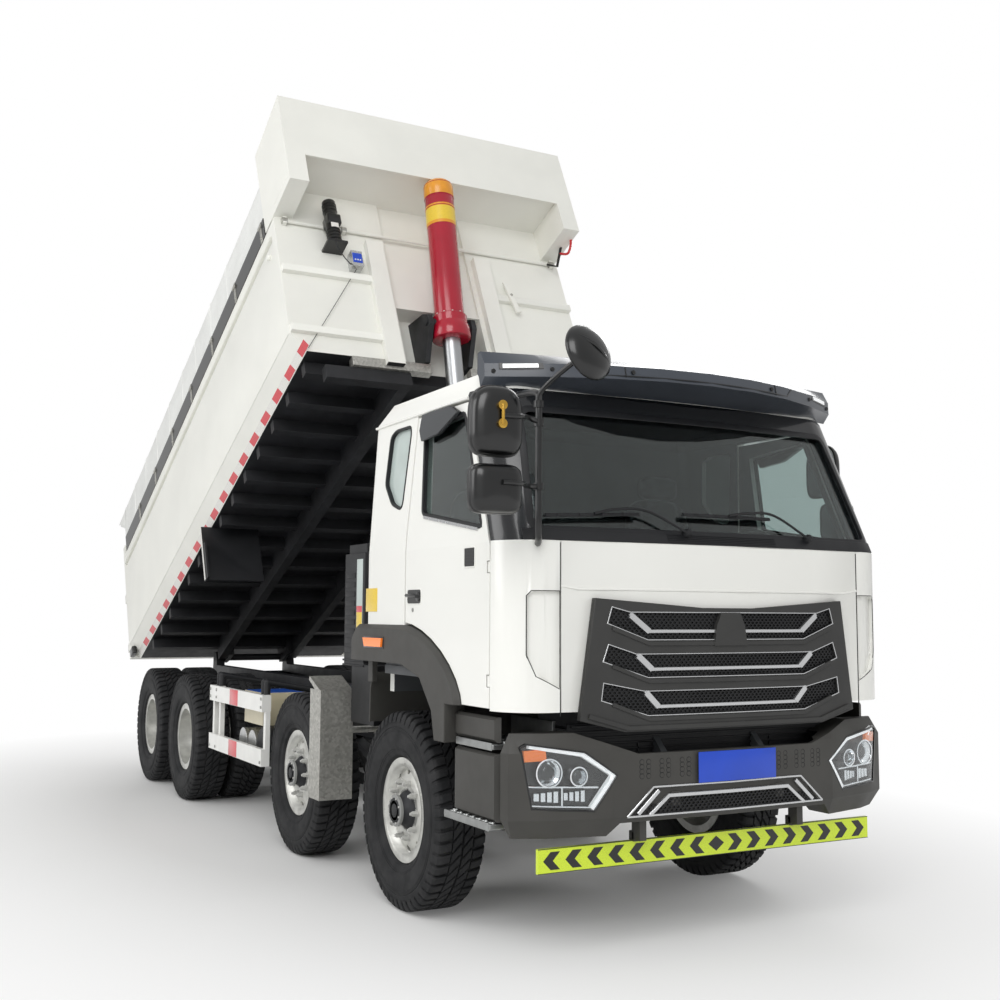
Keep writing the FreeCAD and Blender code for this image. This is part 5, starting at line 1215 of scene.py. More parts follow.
def build_cab():
    """Cab and doors in gloss white, with trim inside, dark floor, black screen band, seals and grips."""
    shell = screened(cab_enamel())
    lined(dressed("cab_shell", shell, 0.004, more=(stock("liner"), stock("under"))))
    dressed("wheel_arch_flares", stock("plastic"), 0.006)
    for side, sign in SIDES:
        body = side + "_door"
        lined(dressed("door_" + side, stock("cab"), 0.004, more=(stock("liner"), stock("under"))))
        dressed("door_glass_" + side, stock("screen"))
        put = on_flank(sign)
        seal = Shape(nose_place)
        ribbon(seal, rounded(DOOR_WINDOW, 0.035), 0.020, put, 0.004, -0.019, closed=True)
        ribbon(seal, [(-1.06, 2.071), (-0.41, 2.175)], 0.016, put, 0.007, 0.001, mark=1)
        seal.piece("door_seal_" + side, [stock("matt"), stock("trim")], body)
        small = Shape(nose_place)
        # recessed cup, grip and lock of the handle
        cup = rounded([(-0.405, 1.705), (-0.225, 1.705), (-0.225, 1.785), (-0.405, 1.785)], 0.02)
        ribbon(small, cup, 0.006, put, 0.002, -0.004, closed=True, mark=1)
        small.slab([(y, z) for y, z in cup], sign * 1.217, sign * 1.2213, mark=0)
        x0 = sign * 1.226
        small.tube([(sign * 1.219, -0.235, 1.752), (x0 + sign * 0.012, -0.25, 1.752),
                    (x0 + sign * 0.016, -0.31, 1.75), (x0 + sign * 0.012, -0.38, 1.746),
                    (sign * 1.219, -0.395, 1.745)], 0.010, steps=10, mark=0)
        small.lathe([(-0.002, 0.0), (-0.002, 0.028), (0.007, 0.026), (0.009, 0.02), (0.009, 0.0)],
                    (sign * 1.22, -0.372, 1.745), (sign, 0, 0), steps=24, mark=0)
        small.lathe([(-0.002, 0.0), (-0.002, 0.012), (0.003, 0.011), (0.0035, 0.0)],
                    (sign * 1.22, -0.30, 1.672), (sign, 0, 0), steps=16, mark=2)
        # louvred vent
        vent = rounded([(-1.04, 1.885), (-0.92, 1.885), (-0.92, 1.985), (-1.04, 1.985)], 0.012)
        ribbon(small, vent, 0.008, put, 0.004, -0.002, closed=True, mark=1)
        small.slab(vent, sign * 1.218, sign * 1.2212, mark=0)
        for k in range(5):
            z = 1.902 + 0.0165 * k
            small.slab([(-1.028, z), (-0.932, z), (-0.932, z + 0.006), (-1.028, z + 0.006)], sign * 1.22,
                       sign * 1.2235)
        small.piece("door_fittings_" + side, [stock("black"), stock("cab"), stock("bolt")], body)
        shield = Shape(nose_place)
        edge = resampled([(-0.336, 2.66), (-0.37, 2.597), (-0.58, 2.615), (-0.80, 2.70), (-0.70, 2.745),
                          (-0.36, 2.745)], 0.03, True)
        shield.grid(np.stack([put(edge, out) for out in (0.006, 0.03, 0.033, 0.009)]), wrap_u=True,
                    wrap_v=True)
        middle = edge.mean(0)
        faces = ((1.0, 0.033), (0.66, 0.033), (0.33, 0.033), (0.0, 0.033),
                 (0.0, 0.030), (0.33, 0.030), (0.66, 0.030), (1.0, 0.030))
        shield.grid(np.stack([put(middle + (edge - middle) * share, out) for share, out in faces]),
                    wrap_v=True)
        shield.piece("wind_shield_" + side, [stock("smoke")], body)
        rail = Shape(nose_place)
        ys = np.linspace(0.36, -0.86, 40)
        z = 2.765 + 0 * ys
        rail.tube(np.stack([sign * (cab_side(z) + 0.003), ys, z], -1), 0.008, steps=10)
        ribbon(rail, rounded(QUARTER, 0.03), 0.014, put, 0.003, -0.019, closed=True, mark=1)
        rail.block((sign * 1.2195, 0.205, 1.663), (sign * 1.2225, 0.375, 1.80), 0.001, mark=2)
        rail.slab([(0.055, 1.462), (0.30, 1.462), (0.325, 1.512), (0.045, 1.512)], sign * 1.246,
                  sign * 1.262, mark=3)
        rail.block((sign * 1.246, 0.035, 1.452), (sign * 1.251, 0.335, 1.522), 0.002, mark=4)
        rail.piece("cab_side_trim_" + side, [stock("cab"), stock("matt"), stock("yellow_tape"),
                                             stock("orange_lamp"), stock("black")], "cab")
    glass = dressed("cab_glass", stock("screen"), more=(stock("quarter"),))
    # the quarter panes take an opaque pale finish in place of glass: the reflection of the bright
    # surroundings is painted into their colour
    paint(glass, 1, lambda c, n: c[:, 1] > NOSE - 0.4)
    front = Shape(nose_place)
    ribbon(front, rounded(SCREEN, 0.06), 0.034, on_nose, 0.004, -0.019, closed=True, step=0.05)
    ribbon(front, [(-1.13, 2.035), (1.13, 2.035)], 0.055, on_nose, 0.006, -0.002, step=0.05)
    for k in range(5):
        z = 2.018 + 0.009 * k
        ribbon(front, [(-0.35, z), (0.35, z)], 0.003, on_nose, 0.009, 0.004, step=0.05)
    front.piece("screen_seal", [stock("matt")], "cab")
    wipers = Shape(nose_place)
    for a, b, elbow, pivot in (((-1.017, 2.124), (-0.49, 2.147), (-0.62, 2.172), (-0.23, 2.06)),
                               ((-0.221, 2.159), (0.352, 2.157), (0.20, 2.186), (0.59, 2.06))):
        blade = resampled([a, b], 0.06)
        for wide, front_out, back_out, lift in ((0.008, 0.012, -0.004, 0.0), (0.016, 0.022, 0.010, 0.005)):
            ribbon(wipers, [(p[0], p[1] + lift) for p in blade], wide, on_nose, front_out, back_out,
                   step=0.06)
        middle = ((a[0] + b[0]) / 2, (a[1] + b[1]) / 2 + 0.01)
        arm = on_nose(smooth_path([middle, elbow, (elbow[0] + 0.18, elbow[1] - 0.004), pivot], 22), 0.03)
        wipers.tube(arm, 0.007, steps=8)
        foot = on_nose(np.array([pivot]), 0.0)[0]
        wipers.lathe([(-0.004, 0.0), (-0.004, 0.024), (0.03, 0.02), (0.042, 0.012), (0.044, 0.0)], foot,
                     (0, -1, 0.35), steps=20)
        for t in (0.15, 0.38, 0.62, 0.85):
            p = on_nose(np.array([(a[0] + (b[0] - a[0]) * t, a[1] + (b[1] - a[1]) * t + 0.006)]), 0.02)[0]
            wipers.block(p - (0.018, 0.006, 0.006), p + (0.018, 0.006, 0.006), 0.002)
    wipers.piece("wipers", [stock("matt")], "cab")
    # pressed crease across the front panel, and dark seams along the grille's flap and round the slots
    # beside it
    lines = Shape(nose_place)
    ribbon(lines, [(-0.955, 1.79), (-0.86, 1.775), (0.86, 1.775), (0.955, 1.79)], 0.012, on_nose, 0.0035,
           -0.003)
    for sign in (-1, 1):
        ribbon(lines, [(sign * 0.958, 1.995), (sign * 0.958, 1.172)], 0.0045, on_nose, 0.0008, -0.004,
               mark=1)
        slot = [(0.962, 1.764), (1.10, 1.764), (1.12, 1.74), (1.12, 1.46), (1.08, 1.36), (0.962, 1.30)]
        ribbon(lines, [(sign * x, z) for x, z in slot], 0.004, on_nose, 0.001, -0.004, mark=1, step=0.03)
    lines.piece("front_crease", [stock("cab"), stock("hole")], "cab")


def mirror_head(shape, middle, wide, tall, depth, power, along, arch=None):
    """A mirror head: superellipse rings |x/a|^n + |z/b|^n = 1 that shrink as they bulge away from the glass.

    along is the unit vector, in the plan, that the back of the head looks along.
    """
    a = np.linspace(0, 2 * math.pi, 48, endpoint=False)
    n = np.where(np.sin(a) > 0, arch or power, power)
    u = np.sign(np.cos(a)) * np.abs(np.cos(a)) ** (2 / n) * wide
    v = np.sign(np.sin(a)) * np.abs(np.sin(a)) ** (2 / n) * tall
    across = np.array((along[1], -along[0]))

    def ring(scale, out):
        return np.stack([middle[0] + scale * u * across[0] + out * along[0],
                         middle[1] + scale * u * across[1] + out * along[1], middle[2] + scale * v], -1)

    back = ((0.90, 0.008), (0.93, 0.0), (1.0, 0.0), (1.0, 0.02), (0.985, 0.032), (0.955, 0.036),
            (0.95, 0.040), (0.92, 0.062), (0.82, 0.082), (0.6, 0.094), (0.3, 0.099), (0.0, 0.1))
    rings = [ring(scale, out * depth / 0.1) for scale, out in back]
    shape.grid(np.stack(rings), wrap_v=True)
    glass = [ring(scale, 0.004) for scale in (0.915, 0.9, 0.6, 0.3, 0.0)]
    shape.grid(np.stack(glass), wrap_v=True, mark=1)


def clamp(shape, middle, along):
    """The brass clamp of a mirror head: a bolt between two washers."""
    middle = np.array(middle)
    along = np.array((along[0], along[1], 0.0))
    for lift in (-0.042, 0.042):
        shape.lathe([(-0.004, 0.0), (-0.004, 0.022), (0.012, 0.022), (0.014, 0.012), (0.014, 0.0)],
                    middle + (0, 0, lift), along, steps=16, mark=2)
    bolt = ((-0.045, 0.012), (0, 0.014), (0.045, 0.012))
    shape.tube([middle + (0, 0, lift) + along * out for lift, out in bolt], 0.008, steps=10, mark=2)


def build_mirrors():
    """Visor with its marker lamps, and the black mirrors on their bent poles with brass clamps."""
    dressed("visor", stock("visor"), 0.010, sharp=24, steps=3)
    trim = Shape(nose_place)
    for sign in (-1, 1):
        ribbon(trim, [(sign * 1.10, 2.905), (sign * 0.90, 2.908)], 0.034, on_visor, 0.002, -0.012)
        ribbon(trim, [(sign * 1.085, 2.905), (sign * 0.925, 2.908)], 0.022, on_visor, 0.005, -0.006, mark=1)
        for x, z in ((1.125, 2.88), (0.86, 2.89), (0.46, 2.89)):
            p = on_visor(np.array([(sign * x, z)]), 0.0)[0]
            trim.lathe([(-0.004, 0.0), (-0.004, 0.012), (0.004, 0.011), (0.006, 0.006), (0.006, 0.0)], p,
                       (0, -1, 0.1), steps=14)
        ribbon(trim, [(sign * 0.50, 2.862), (sign * 0.50, 2.918)], 0.004, on_visor, 0.001, -0.004)
    ribbon(trim, [(-0.66, 2.917), (-0.60, 2.868), (0.60, 2.868), (0.66, 2.917)], 0.005, on_visor, 0.002,
           -0.004)
    trim.piece("visor_trim", [stock("black"), stock("white_lamp")], "cab")
    right = Shape(nose_place)
    pole = smooth_path([(-1.06, -1.375, 1.985), (-1.09, -1.44, 2.0), (-1.12, -1.49, 2.05),
                        (-1.12, -1.49, 2.25), (-1.12, -1.49, 2.5), (-1.12, -1.49, 2.64),
                        (-1.115, -1.46, 2.70), (-1.07, -1.2, 2.735), (-1.04, -0.985, 2.742)], 60)
    right.tube(pole, 0.0165, steps=14)
    for z in (2.25, 2.55, 2.64):
        right.lathe([(-0.016, 0.0), (-0.016, 0.024), (0.016, 0.024), (0.016, 0.0)], (-1.12, -1.49, z),
                    (0, 0, 1), steps=16)
    along = np.array((-0.08, -1.0)) / np.linalg.norm((-0.08, -1.0))
    right.tube(smooth_path([(-1.12, -1.49, 2.555), (-1.2, -1.53, 2.565), (-1.30, -1.645, 2.545),
                            (-1.40, -1.658, 2.54)], 20), 0.012, steps=10)
    right.tube(smooth_path([(-1.12, -1.49, 2.25), (-1.2, -1.52, 2.245), (-1.3, -1.645, 2.24),
                            (-1.40, -1.652, 2.24)], 20), 0.012, steps=10)
    mirror_head(right, (-1.40, -1.562, 2.525), 0.13, 0.165, 0.088, 4.5, along, arch=2.8)
    mirror_head(right, (-1.40, -1.562, 2.215), 0.13, 0.115, 0.084, 5.0, along)
    clamp(right, (-1.405, -1.652, 2.545), along)
    # round close-view mirror ahead of the visor
    lean = Vector((0.25, -0.93, 0.30)).normalized()
    centre = np.array((-1.03, -1.765, 2.84))
    right.lathe([(0.006, 0.0), (0.006, 0.128), (0.0, 0.134), (0.010, 0.139), (0.024, 0.136), (0.045, 0.115),
                 (0.062, 0.08), (0.07, 0.04), (0.072, 0.0)], centre, lean, steps=48)
    right.lathe([(0.005, 0.0), (0.005, 0.127), (0.0055, 0.128)], centre, lean, steps=48, mark=1)
    side = np.cross(lean, (0.55, 0.0, 0.83))
    side /= np.linalg.norm(side)
    axis = np.array(lean)
    right.tube([centre + side * t + axis * (0.073 - 3.1 * t * t) for t in np.linspace(-0.115, 0.115, 15)],
               0.010, steps=8)
    right.tube(smooth_path([(-1.12, -1.49, 2.64), (-1.12, -1.52, 2.70), (-1.07, -1.66, 2.79),
                            centre + axis * 0.03], 20), 0.012, steps=10)
    right.piece("mirrors_right", [stock("black"), stock("mirror"), stock("brass")], "cab",
                ("mirrors",), sharp=40)
    left = Shape(nose_place)
    left.tube(smooth_path([(1.19, -1.125, 2.052), (1.235, -1.125, 2.055), (1.25, -1.118, 2.09),
                           (1.24, -0.98, 2.4), (1.23, -0.85, 2.69), (1.21, -0.84, 2.712),
                           (1.16, -0.84, 2.712)], 50), 0.0135, steps=12)
    out = np.array((1.0, 0.0))
    mirror_head(left, (1.233, -0.875, 2.525), 0.128, 0.163, 0.062, 4.5, out, arch=2.8)
    mirror_head(left, (1.233, -0.985, 2.215), 0.128, 0.113, 0.062, 5.0, out)
    clamp(left, (1.293, -0.875, 2.53), out)
    left.piece("mirrors_left", [stock("black"), stock("mirror"), stock("brass")], "left_door",
               ("mirror_left",), sharp=40)


def cushion(place, size, crown, seams, name):
    """A stuffed pad: a superellipsoid |x/a|^4 + |y/b|^4 + |z/c|^3 = 1 with seams pressed into its top."""
    u = np.linspace(-math.pi / 2, math.pi / 2, 33)[:, None]
    v = np.linspace(0, 2 * math.pi, 64, endpoint=False)[None, :]

    def power(value, n):
        return np.sign(value) * np.abs(value) ** n

    x = size[0] * power(np.cos(u), 0.5) * power(np.cos(v), 0.5)
    y = size[1] * power(np.cos(u), 0.5) * power(np.sin(v), 0.5)
    z = size[2] * power(np.sin(u), 0.65) + 0 * v
    face = np.clip(z / size[2], 0, 1)
    z = z + crown * face * (1 - (x / size[0]) ** 2) * (1 - (y / size[1]) ** 2)
    for axis, at in seams:
        gap = (x if axis == 0 else y) - at
        z = z - 0.014 * face * np.exp(-(gap / 0.009) ** 2)
    shape = Shape(place)
    shape.grid(np.stack([x, y, z], -1), wrap_v=True)
    pad = shape.piece(name, [stock("seat")], "cab", sharp=60)


def build_interior():
    """Two suspended seats with stitched pads, dashboard with cluster and vents, and the steering wheel."""
    dressed("dashboard", stock("liner"), 0.01)
    dressed("steering_wheel", stock("black"), sharp=50)
    base = Shape(nose_place)
    for side, sign in SIDES:
        x = 0.62 * sign
        base.block((x - 0.2, -0.52, 1.3503), (x + 0.2, -0.12, 1.42), 0.01)
        for k in range(5):
            base.block((x - 0.17 + 0.004 * k, -0.49, 1.42 + 0.03 * k),
                       (x + 0.17 - 0.004 * k, -0.15, 1.447 + 0.03 * k), 0.008)
        base.block((x - 0.235, -0.59, 1.57), (x + 0.235, -0.08, 1.635), 0.015)
        base.block((x - 0.2, -0.06, 1.60), (x + 0.2, 0.0, 2.30), 0.02)

        def flat(points, x=x):
            return nose_place(points + (x, -0.345, 1.675))

        def upright(points, x=x, rise=2.03, lean=0.07):
            points = np.asarray(points)
            out = np.stack([points[:, 0] + x, -0.035 - points[:, 2] + lean * (points[:, 1]),
                            points[:, 1] + rise], -1)
            return nose_place(out)

        cushion(flat, (0.25, 0.28, 0.062), 0.03, [(0, -0.14), (0, 0.14), (1, 0.05), (1, -0.08)],
                "seat_pad_" + side)
        cushion(upright, (0.24, 0.36, 0.062), 0.03, [(0, -0.14), (0, 0.14), (1, 0.12), (1, -0.06)],
                "back_pad_" + side)

        def head(points, x=x):
            return upright(points, x=x, rise=2.46, lean=0.0)

        cushion(head, (0.14, 0.075, 0.05), 0.012, [], "head_pad_" + side)
        for dx in (-0.06, 0.06):
            base.tube([(x + dx, -0.03, 2.3), (x + dx, -0.035, 2.44)], 0.008, steps=8, mark=1)
    base.piece("seat_frames", [stock("black"), stock("rod")], "cab", ("seats",))
    parts = Shape(nose_place)
    # cluster hood, gauges, vents and centre stack
    parts.block((0.40, -1.20, 2.0), (0.84, -1.04, 2.075), 0.03)
    for x in (0.52, 0.72):
        parts.lathe([(0.0, 0.0), (0.0, 0.055), (0.006, 0.06), (0.012, 0.06), (0.012, 0.054), (0.003, 0.05)],
                    (x, -1.075, 1.93), (0, 1, 0.35), steps=32, mark=1)
    for x in (-0.85, -0.35, 0.08, 0.94):
        parts.block((x - 0.06, -1.085, 1.86), (x + 0.06, -1.070, 1.92), 0.006)
        for k in range(4):
            parts.block((x - 0.055, -1.072, 1.868 + 0.013 * k), (x + 0.055, -1.066, 1.873 + 0.013 * k),
                        0.001, mark=1)
    parts.block((0.0, -1.10, 1.60), (0.3, -1.068, 1.83), 0.01)
    for k in range(3):
        parts.lathe([(0.0, 0.0), (0.0, 0.02), (0.016, 0.018), (0.017, 0.0)], (0.06 + 0.09 * k, -1.068, 1.66),
                    (0, 1, 0), steps=20, mark=1)
    parts.piece("dash_fittings", [stock("black"), stock("trim")], "cab")


# ---- chassis -------------------------------------------------------------------------------------
def build_chassis():
    """Frame, springs, axles, shafts and engine in satin black and cast iron, with rivets and U bolts."""
    dressed("frame_rails", stock("chassis"), 0.003)
    dressed("leaf_springs", stock("under"), 0.0015)
    dressed("front_axles", stock("iron"), 0.004)
    dressed("rear_axles", stock("iron"), 0.004)
    dressed("drive_shafts", stock("under"))
    dressed("engine_block", stock("iron"), 0.008)
    for axle in (1, 2):
        for side, sign in SIDES:
            dressed("knuckle_%d_%s" % (axle, side), stock("iron"), 0.003)
    bolts = Shape(nose_place)
    ys = np.arange(-1.2, 6.55, 0.15)
    for sign in (-1, 1):
        for y in ys:
            for z in (0.765, 0.975):
                bolts.lathe([(-0.001, 0.0), (-0.001, 0.013), (0.007, 0.011), (0.009, 0.0)],
                            (sign * 0.43, y, z), (sign, 0, 0), steps=8)
    # U bolts over the springs
    for axle, y in ((1, 0.0), (2, 1.8)):
        for sign in (-1, 1):
            for dy in (-0.065, 0.065):
                x = sign * 0.3875
                for dx in (-0.045, 0.045):
                    bolts.tube([(x + dx, y + dy, 0.44), (x + dx, y + dy, 0.60)], 0.009, steps=8)
                    bolts.lathe([(0.0, 0.0), (0.0, 0.016), (0.016, 0.016), (0.016, 0.0)],
                                (x + dx, y + dy, 0.428), (0, 0, 1), steps=6)
                bolts.tube([(x - 0.045, y + dy, 0.6), (x - 0.03, y + dy, 0.612), (x + 0.03, y + dy, 0.612),
                            (x + 0.045, y + dy, 0.6)], 0.009, steps=8)
    bolts.piece("frame_bolts", [stock("bolt")], "chassis")


def build_sides():
    """Guards with red tape, galvanised wings, tanks, the intake and their small fittings."""
    guard = dressed("side_guards", stock("guard"), 0.004, more=(stock("matt"),))
    paint(guard, 1, lambda c, n: (np.abs(c[:, 0]) < 1.155) | (c[:, 2] > 1.06))
    tape = Shape(nose_place)
    for sign in (-1, 1):
        for low in (0.925, 0.53):
            tape.block((sign * 1.2245, 2.98, low + 0.002), (sign * 1.2262, 3.20, low + 0.123), 0.0005)
        for y in (2.375, 3.59, 3.765):
            for z in (0.56, 0.96, 1.02):
                tape.lathe([(-0.001, 0.0), (-0.001, 0.012), (0.006, 0.011), (0.008, 0.0)],
                           (sign * 1.225, y, z), (sign, 0, 0), steps=10, mark=1)
    tape.piece("guard_tape", [stock("red_tape"), stock("bolt")], "chassis")
    dressed("mudguards", stock("zinc"), 0.004, more=(stock("matt"),))
    dressed("intake_column", stock("matt"), 0.012, steps=3)
    mast = Shape(nose_place)
    mast.block((-1.0615, 0.83, 1.36), (-1.0595, 0.93, 2.0), 0.0008, mark=0)
    mast.block((-1.0628, 0.835, 1.52), (-1.0612, 0.925, 1.66), 0.0005, mark=2)
    mast.block((-1.0628, 0.835, 1.66), (-1.0612, 0.925, 1.70), 0.0005, mark=3)
    for k in range(9):
        z = 1.40 + 0.06 * k
        mast.block((-1.063, 0.96, z), (-1.0595, 1.12, z + 0.035), 0.002, mark=1)
    for z in (1.345, 1.315):
        mast.block((-1.068, 0.79, z), (-0.812, 1.15, z + 0.012), 0.004, mark=1)
    mast.piece("intake_fittings", [stock("quarter"), stock("matt"), stock("yellow_tape"), stock("red_tape")],
               "chassis")
    tanks = dressed("tanks", stock("tank"), 0.006, steps=3, more=(stock("matt"), stock("beige"),
                                                                  stock("blue_cap")))

    def near(c, y, z, reach):
        return (c[:, 0] < 0) & (np.hypot(c[:, 1] - NOSE - y, c[:, 2] - z) < reach)

    paint(tanks, 1, lambda c, n: near(c, 2.64, 0.64, 0.153))
    paint(tanks, 2, lambda c, n: (c[:, 0] < 0) & (c[:, 2] > 0.785) & (c[:, 1] - NOSE > 2.70))
    paint(tanks, 3, lambda c, n: (c[:, 0] < 0) & (c[:, 2] > 1.0385))


# ---- tipping body --------------------------------------------------------------------------------
def bed_local(c):
    """World points as (x, s, h) of the body."""
    y = c[:, 1] - HINGE[1]
    z = c[:, 2] - HINGE[2]
    s = -y * math.cos(TILT) + z * math.sin(TILT)
    h = y * math.sin(TILT) + z * math.cos(TILT) - sizes().bed_rise
    return c[:, 0], s, h


def build_body():
    """Body in semi-gloss white with a dark underside that is partly painted shade, red and white tape,
    latches and the far handle.
    """
    shell = dressed("bed_shell", stock("body"), 0.004, more=(stock("under"),))

    # down-facing faces of the floor take the dark underbody finish: partly the underside's own black, partly
    # painted shade under the body
    def below(c, n):
        h = bed_local(c)[2]
        down = -(n[:, 1] * math.sin(TILT) + n[:, 2] * math.cos(TILT))
        return (down > 0.5) & (h < 0.04)

    paint(shell, 1, below)
    dressed("bed_frame", stock("under"), 0.003)
    dressed("bed_flaps", stock("matt"), 0.002)
    small = Shape(bed_place)
    normal = np.array((0.8064, -0.5914))

    def chamfer(sign, s0, s1, t0, t1, low, high, mark):
        corners = []
        for lift in (low, high):
            for s, t in ((s0, t0), (s1, t0), (s1, t1), (s0, t1)):
                corners.append((sign * (1.14 + 0.11 * t + normal[0] * lift), s, 0.15 * t + normal[1] * lift))
        corners = np.array(corners)
        small.loft([corners[:4], corners[4:]], mark)

    half = sizes().bed_half
    for sign in (-1, 1):
        chamfer(sign, -0.25, 5.33, 0.03, 0.36, -0.0005, 0.0008, 2)
        for k in range(18):
            s = 0.31 * k
            chamfer(sign, s, s + 0.15, 0.04, 0.35, 0.0, 0.0016, 1)
        # clips that hold the cover's rail
        for k in range(7):
            s = 5.08 - sizes().clip_pitch * k
            for wide, out, low, high, edge in ((0.022, 0.009, 1.215, 1.40, 0.002),
                                               (0.035, 0.02, 1.345, 1.372, 0.004)):
                small.block((sign * (half + 0.004), s - wide, low), (sign * (half + out), s + wide, high),
                            edge, mark=3)
            small.lathe([(0.0, 0.0), (0.0, 0.011), (0.008, 0.010), (0.009, 0.0)],
                        (sign * (half + 0.008), s, 1.25), (sign, 0, 0), steps=8, mark=3)
        # knob near the front of the side
        small.lathe([(-0.002, 0.0), (-0.002, 0.022), (0.012, 0.024), (0.022, 0.018), (0.024, 0.0)],
                    (sign * half, 5.18, 0.98), (sign, 0, 0), steps=24, mark=0)
        # weld beads along the side's folds
        for height, front, radius in ((0.152, 5.34, 0.0035), (1.135, 5.25, 0.003)):
            small.tube([(sign * (half + 0.0005), s, height) for s in (-0.28, front)], radius, steps=6)
        # flap's light front edge
        small.block((sign * 1.2375, 2.655, -0.515), (sign * 1.241, 2.685, -0.01), 0.001, mark=2)
        # tailgate latch hook and its bracket at the foot of the side
        small.block((sign * 1.20, -0.33, 0.02), (sign * 1.248, -0.20, 0.10), 0.008, mark=4)
        small.tube([(sign * 1.225, -0.21, 0.06), (sign * 1.225, -0.36, 0.09), (sign * 1.225, -0.42, 0.14)],
                   0.014, steps=10, mark=4)
        # door stay on the front leg of the hood
        small.block((sign * 1.249, 5.42, 1.30), (sign * 1.2515, 5.72, 1.315), 0.001)
        # galvanised beam along the foot of the front wall, open where the hoist folds in
        small.block((sign * 0.165, 5.30, -0.085), (sign * 0.80, 5.374, -0.003), 0.006, mark=3)
    # slanted catch bar and its screw on the front wall, and the far end's lever with its red grip
    bar = np.array([(-0.022, -0.15), (0.022, -0.15), (0.022, 0.15), (-0.022, 0.15)])
    turn = np.array([(math.cos(0.22), -math.sin(0.22)), (math.sin(0.22), math.cos(0.22))])
    flat = bar @ turn.T + (0.68, 0.74)
    small.slab(flat, 5.401, 5.417, axis=1)
    small.lathe([(0.0, 0.0), (0.0, 0.012), (0.008, 0.011), (0.009, 0.0)], (0.68, 5.415, 0.76), (0, 1, 0),
                steps=10, mark=3)
    small.tube([(1.13, 5.40, 1.17), (1.17, 5.47, 1.10), (1.20, 5.56, 1.26), (1.215, 5.62, 1.36)], 0.012,
               steps=10, mark=4)
    # the red grip takes the red lamp lens, whose faint glow is painted light on a part that is no lamp
    small.tube(smooth_path([(1.19, 5.52, 1.20), (1.22, 5.60, 1.15), (1.235, 5.66, 1.25),
                            (1.215, 5.62, 1.35)], 24), 0.011, steps=10, mark=5)
    small.piece("bed_fittings", [stock("body"), stock("red_tape"), stock("white_tape"), stock("zinc"),
                                 stock("black"), stock("red_lamp")], "bed")


def build_tailgate():
    """Tailgate in body white with bolted hinge caps and tape."""
    dressed("tailgate", stock("body"), 0.005)
    small = Shape(bed_place)
    low = -0.388
    for sign in (-1, 1):
        small.lathe([(-0.002, 0.0), (-0.002, 0.034), (0.008, 0.034), (0.012, 0.02), (0.012, 0.0)],
                    (sign * 1.214, -0.285, 1.45), (sign, 0, 0), steps=24)
    for k in range(7):
        x = -1.08 + 0.36 * k
        small.block((x - 0.075, low - 0.0575, 0.135), (x + 0.075, low - 0.0555, 0.185), 0.0005, mark=1)
    small.piece("tailgate_fittings", [stock("zinc"), stock("red_tape")], "gate")


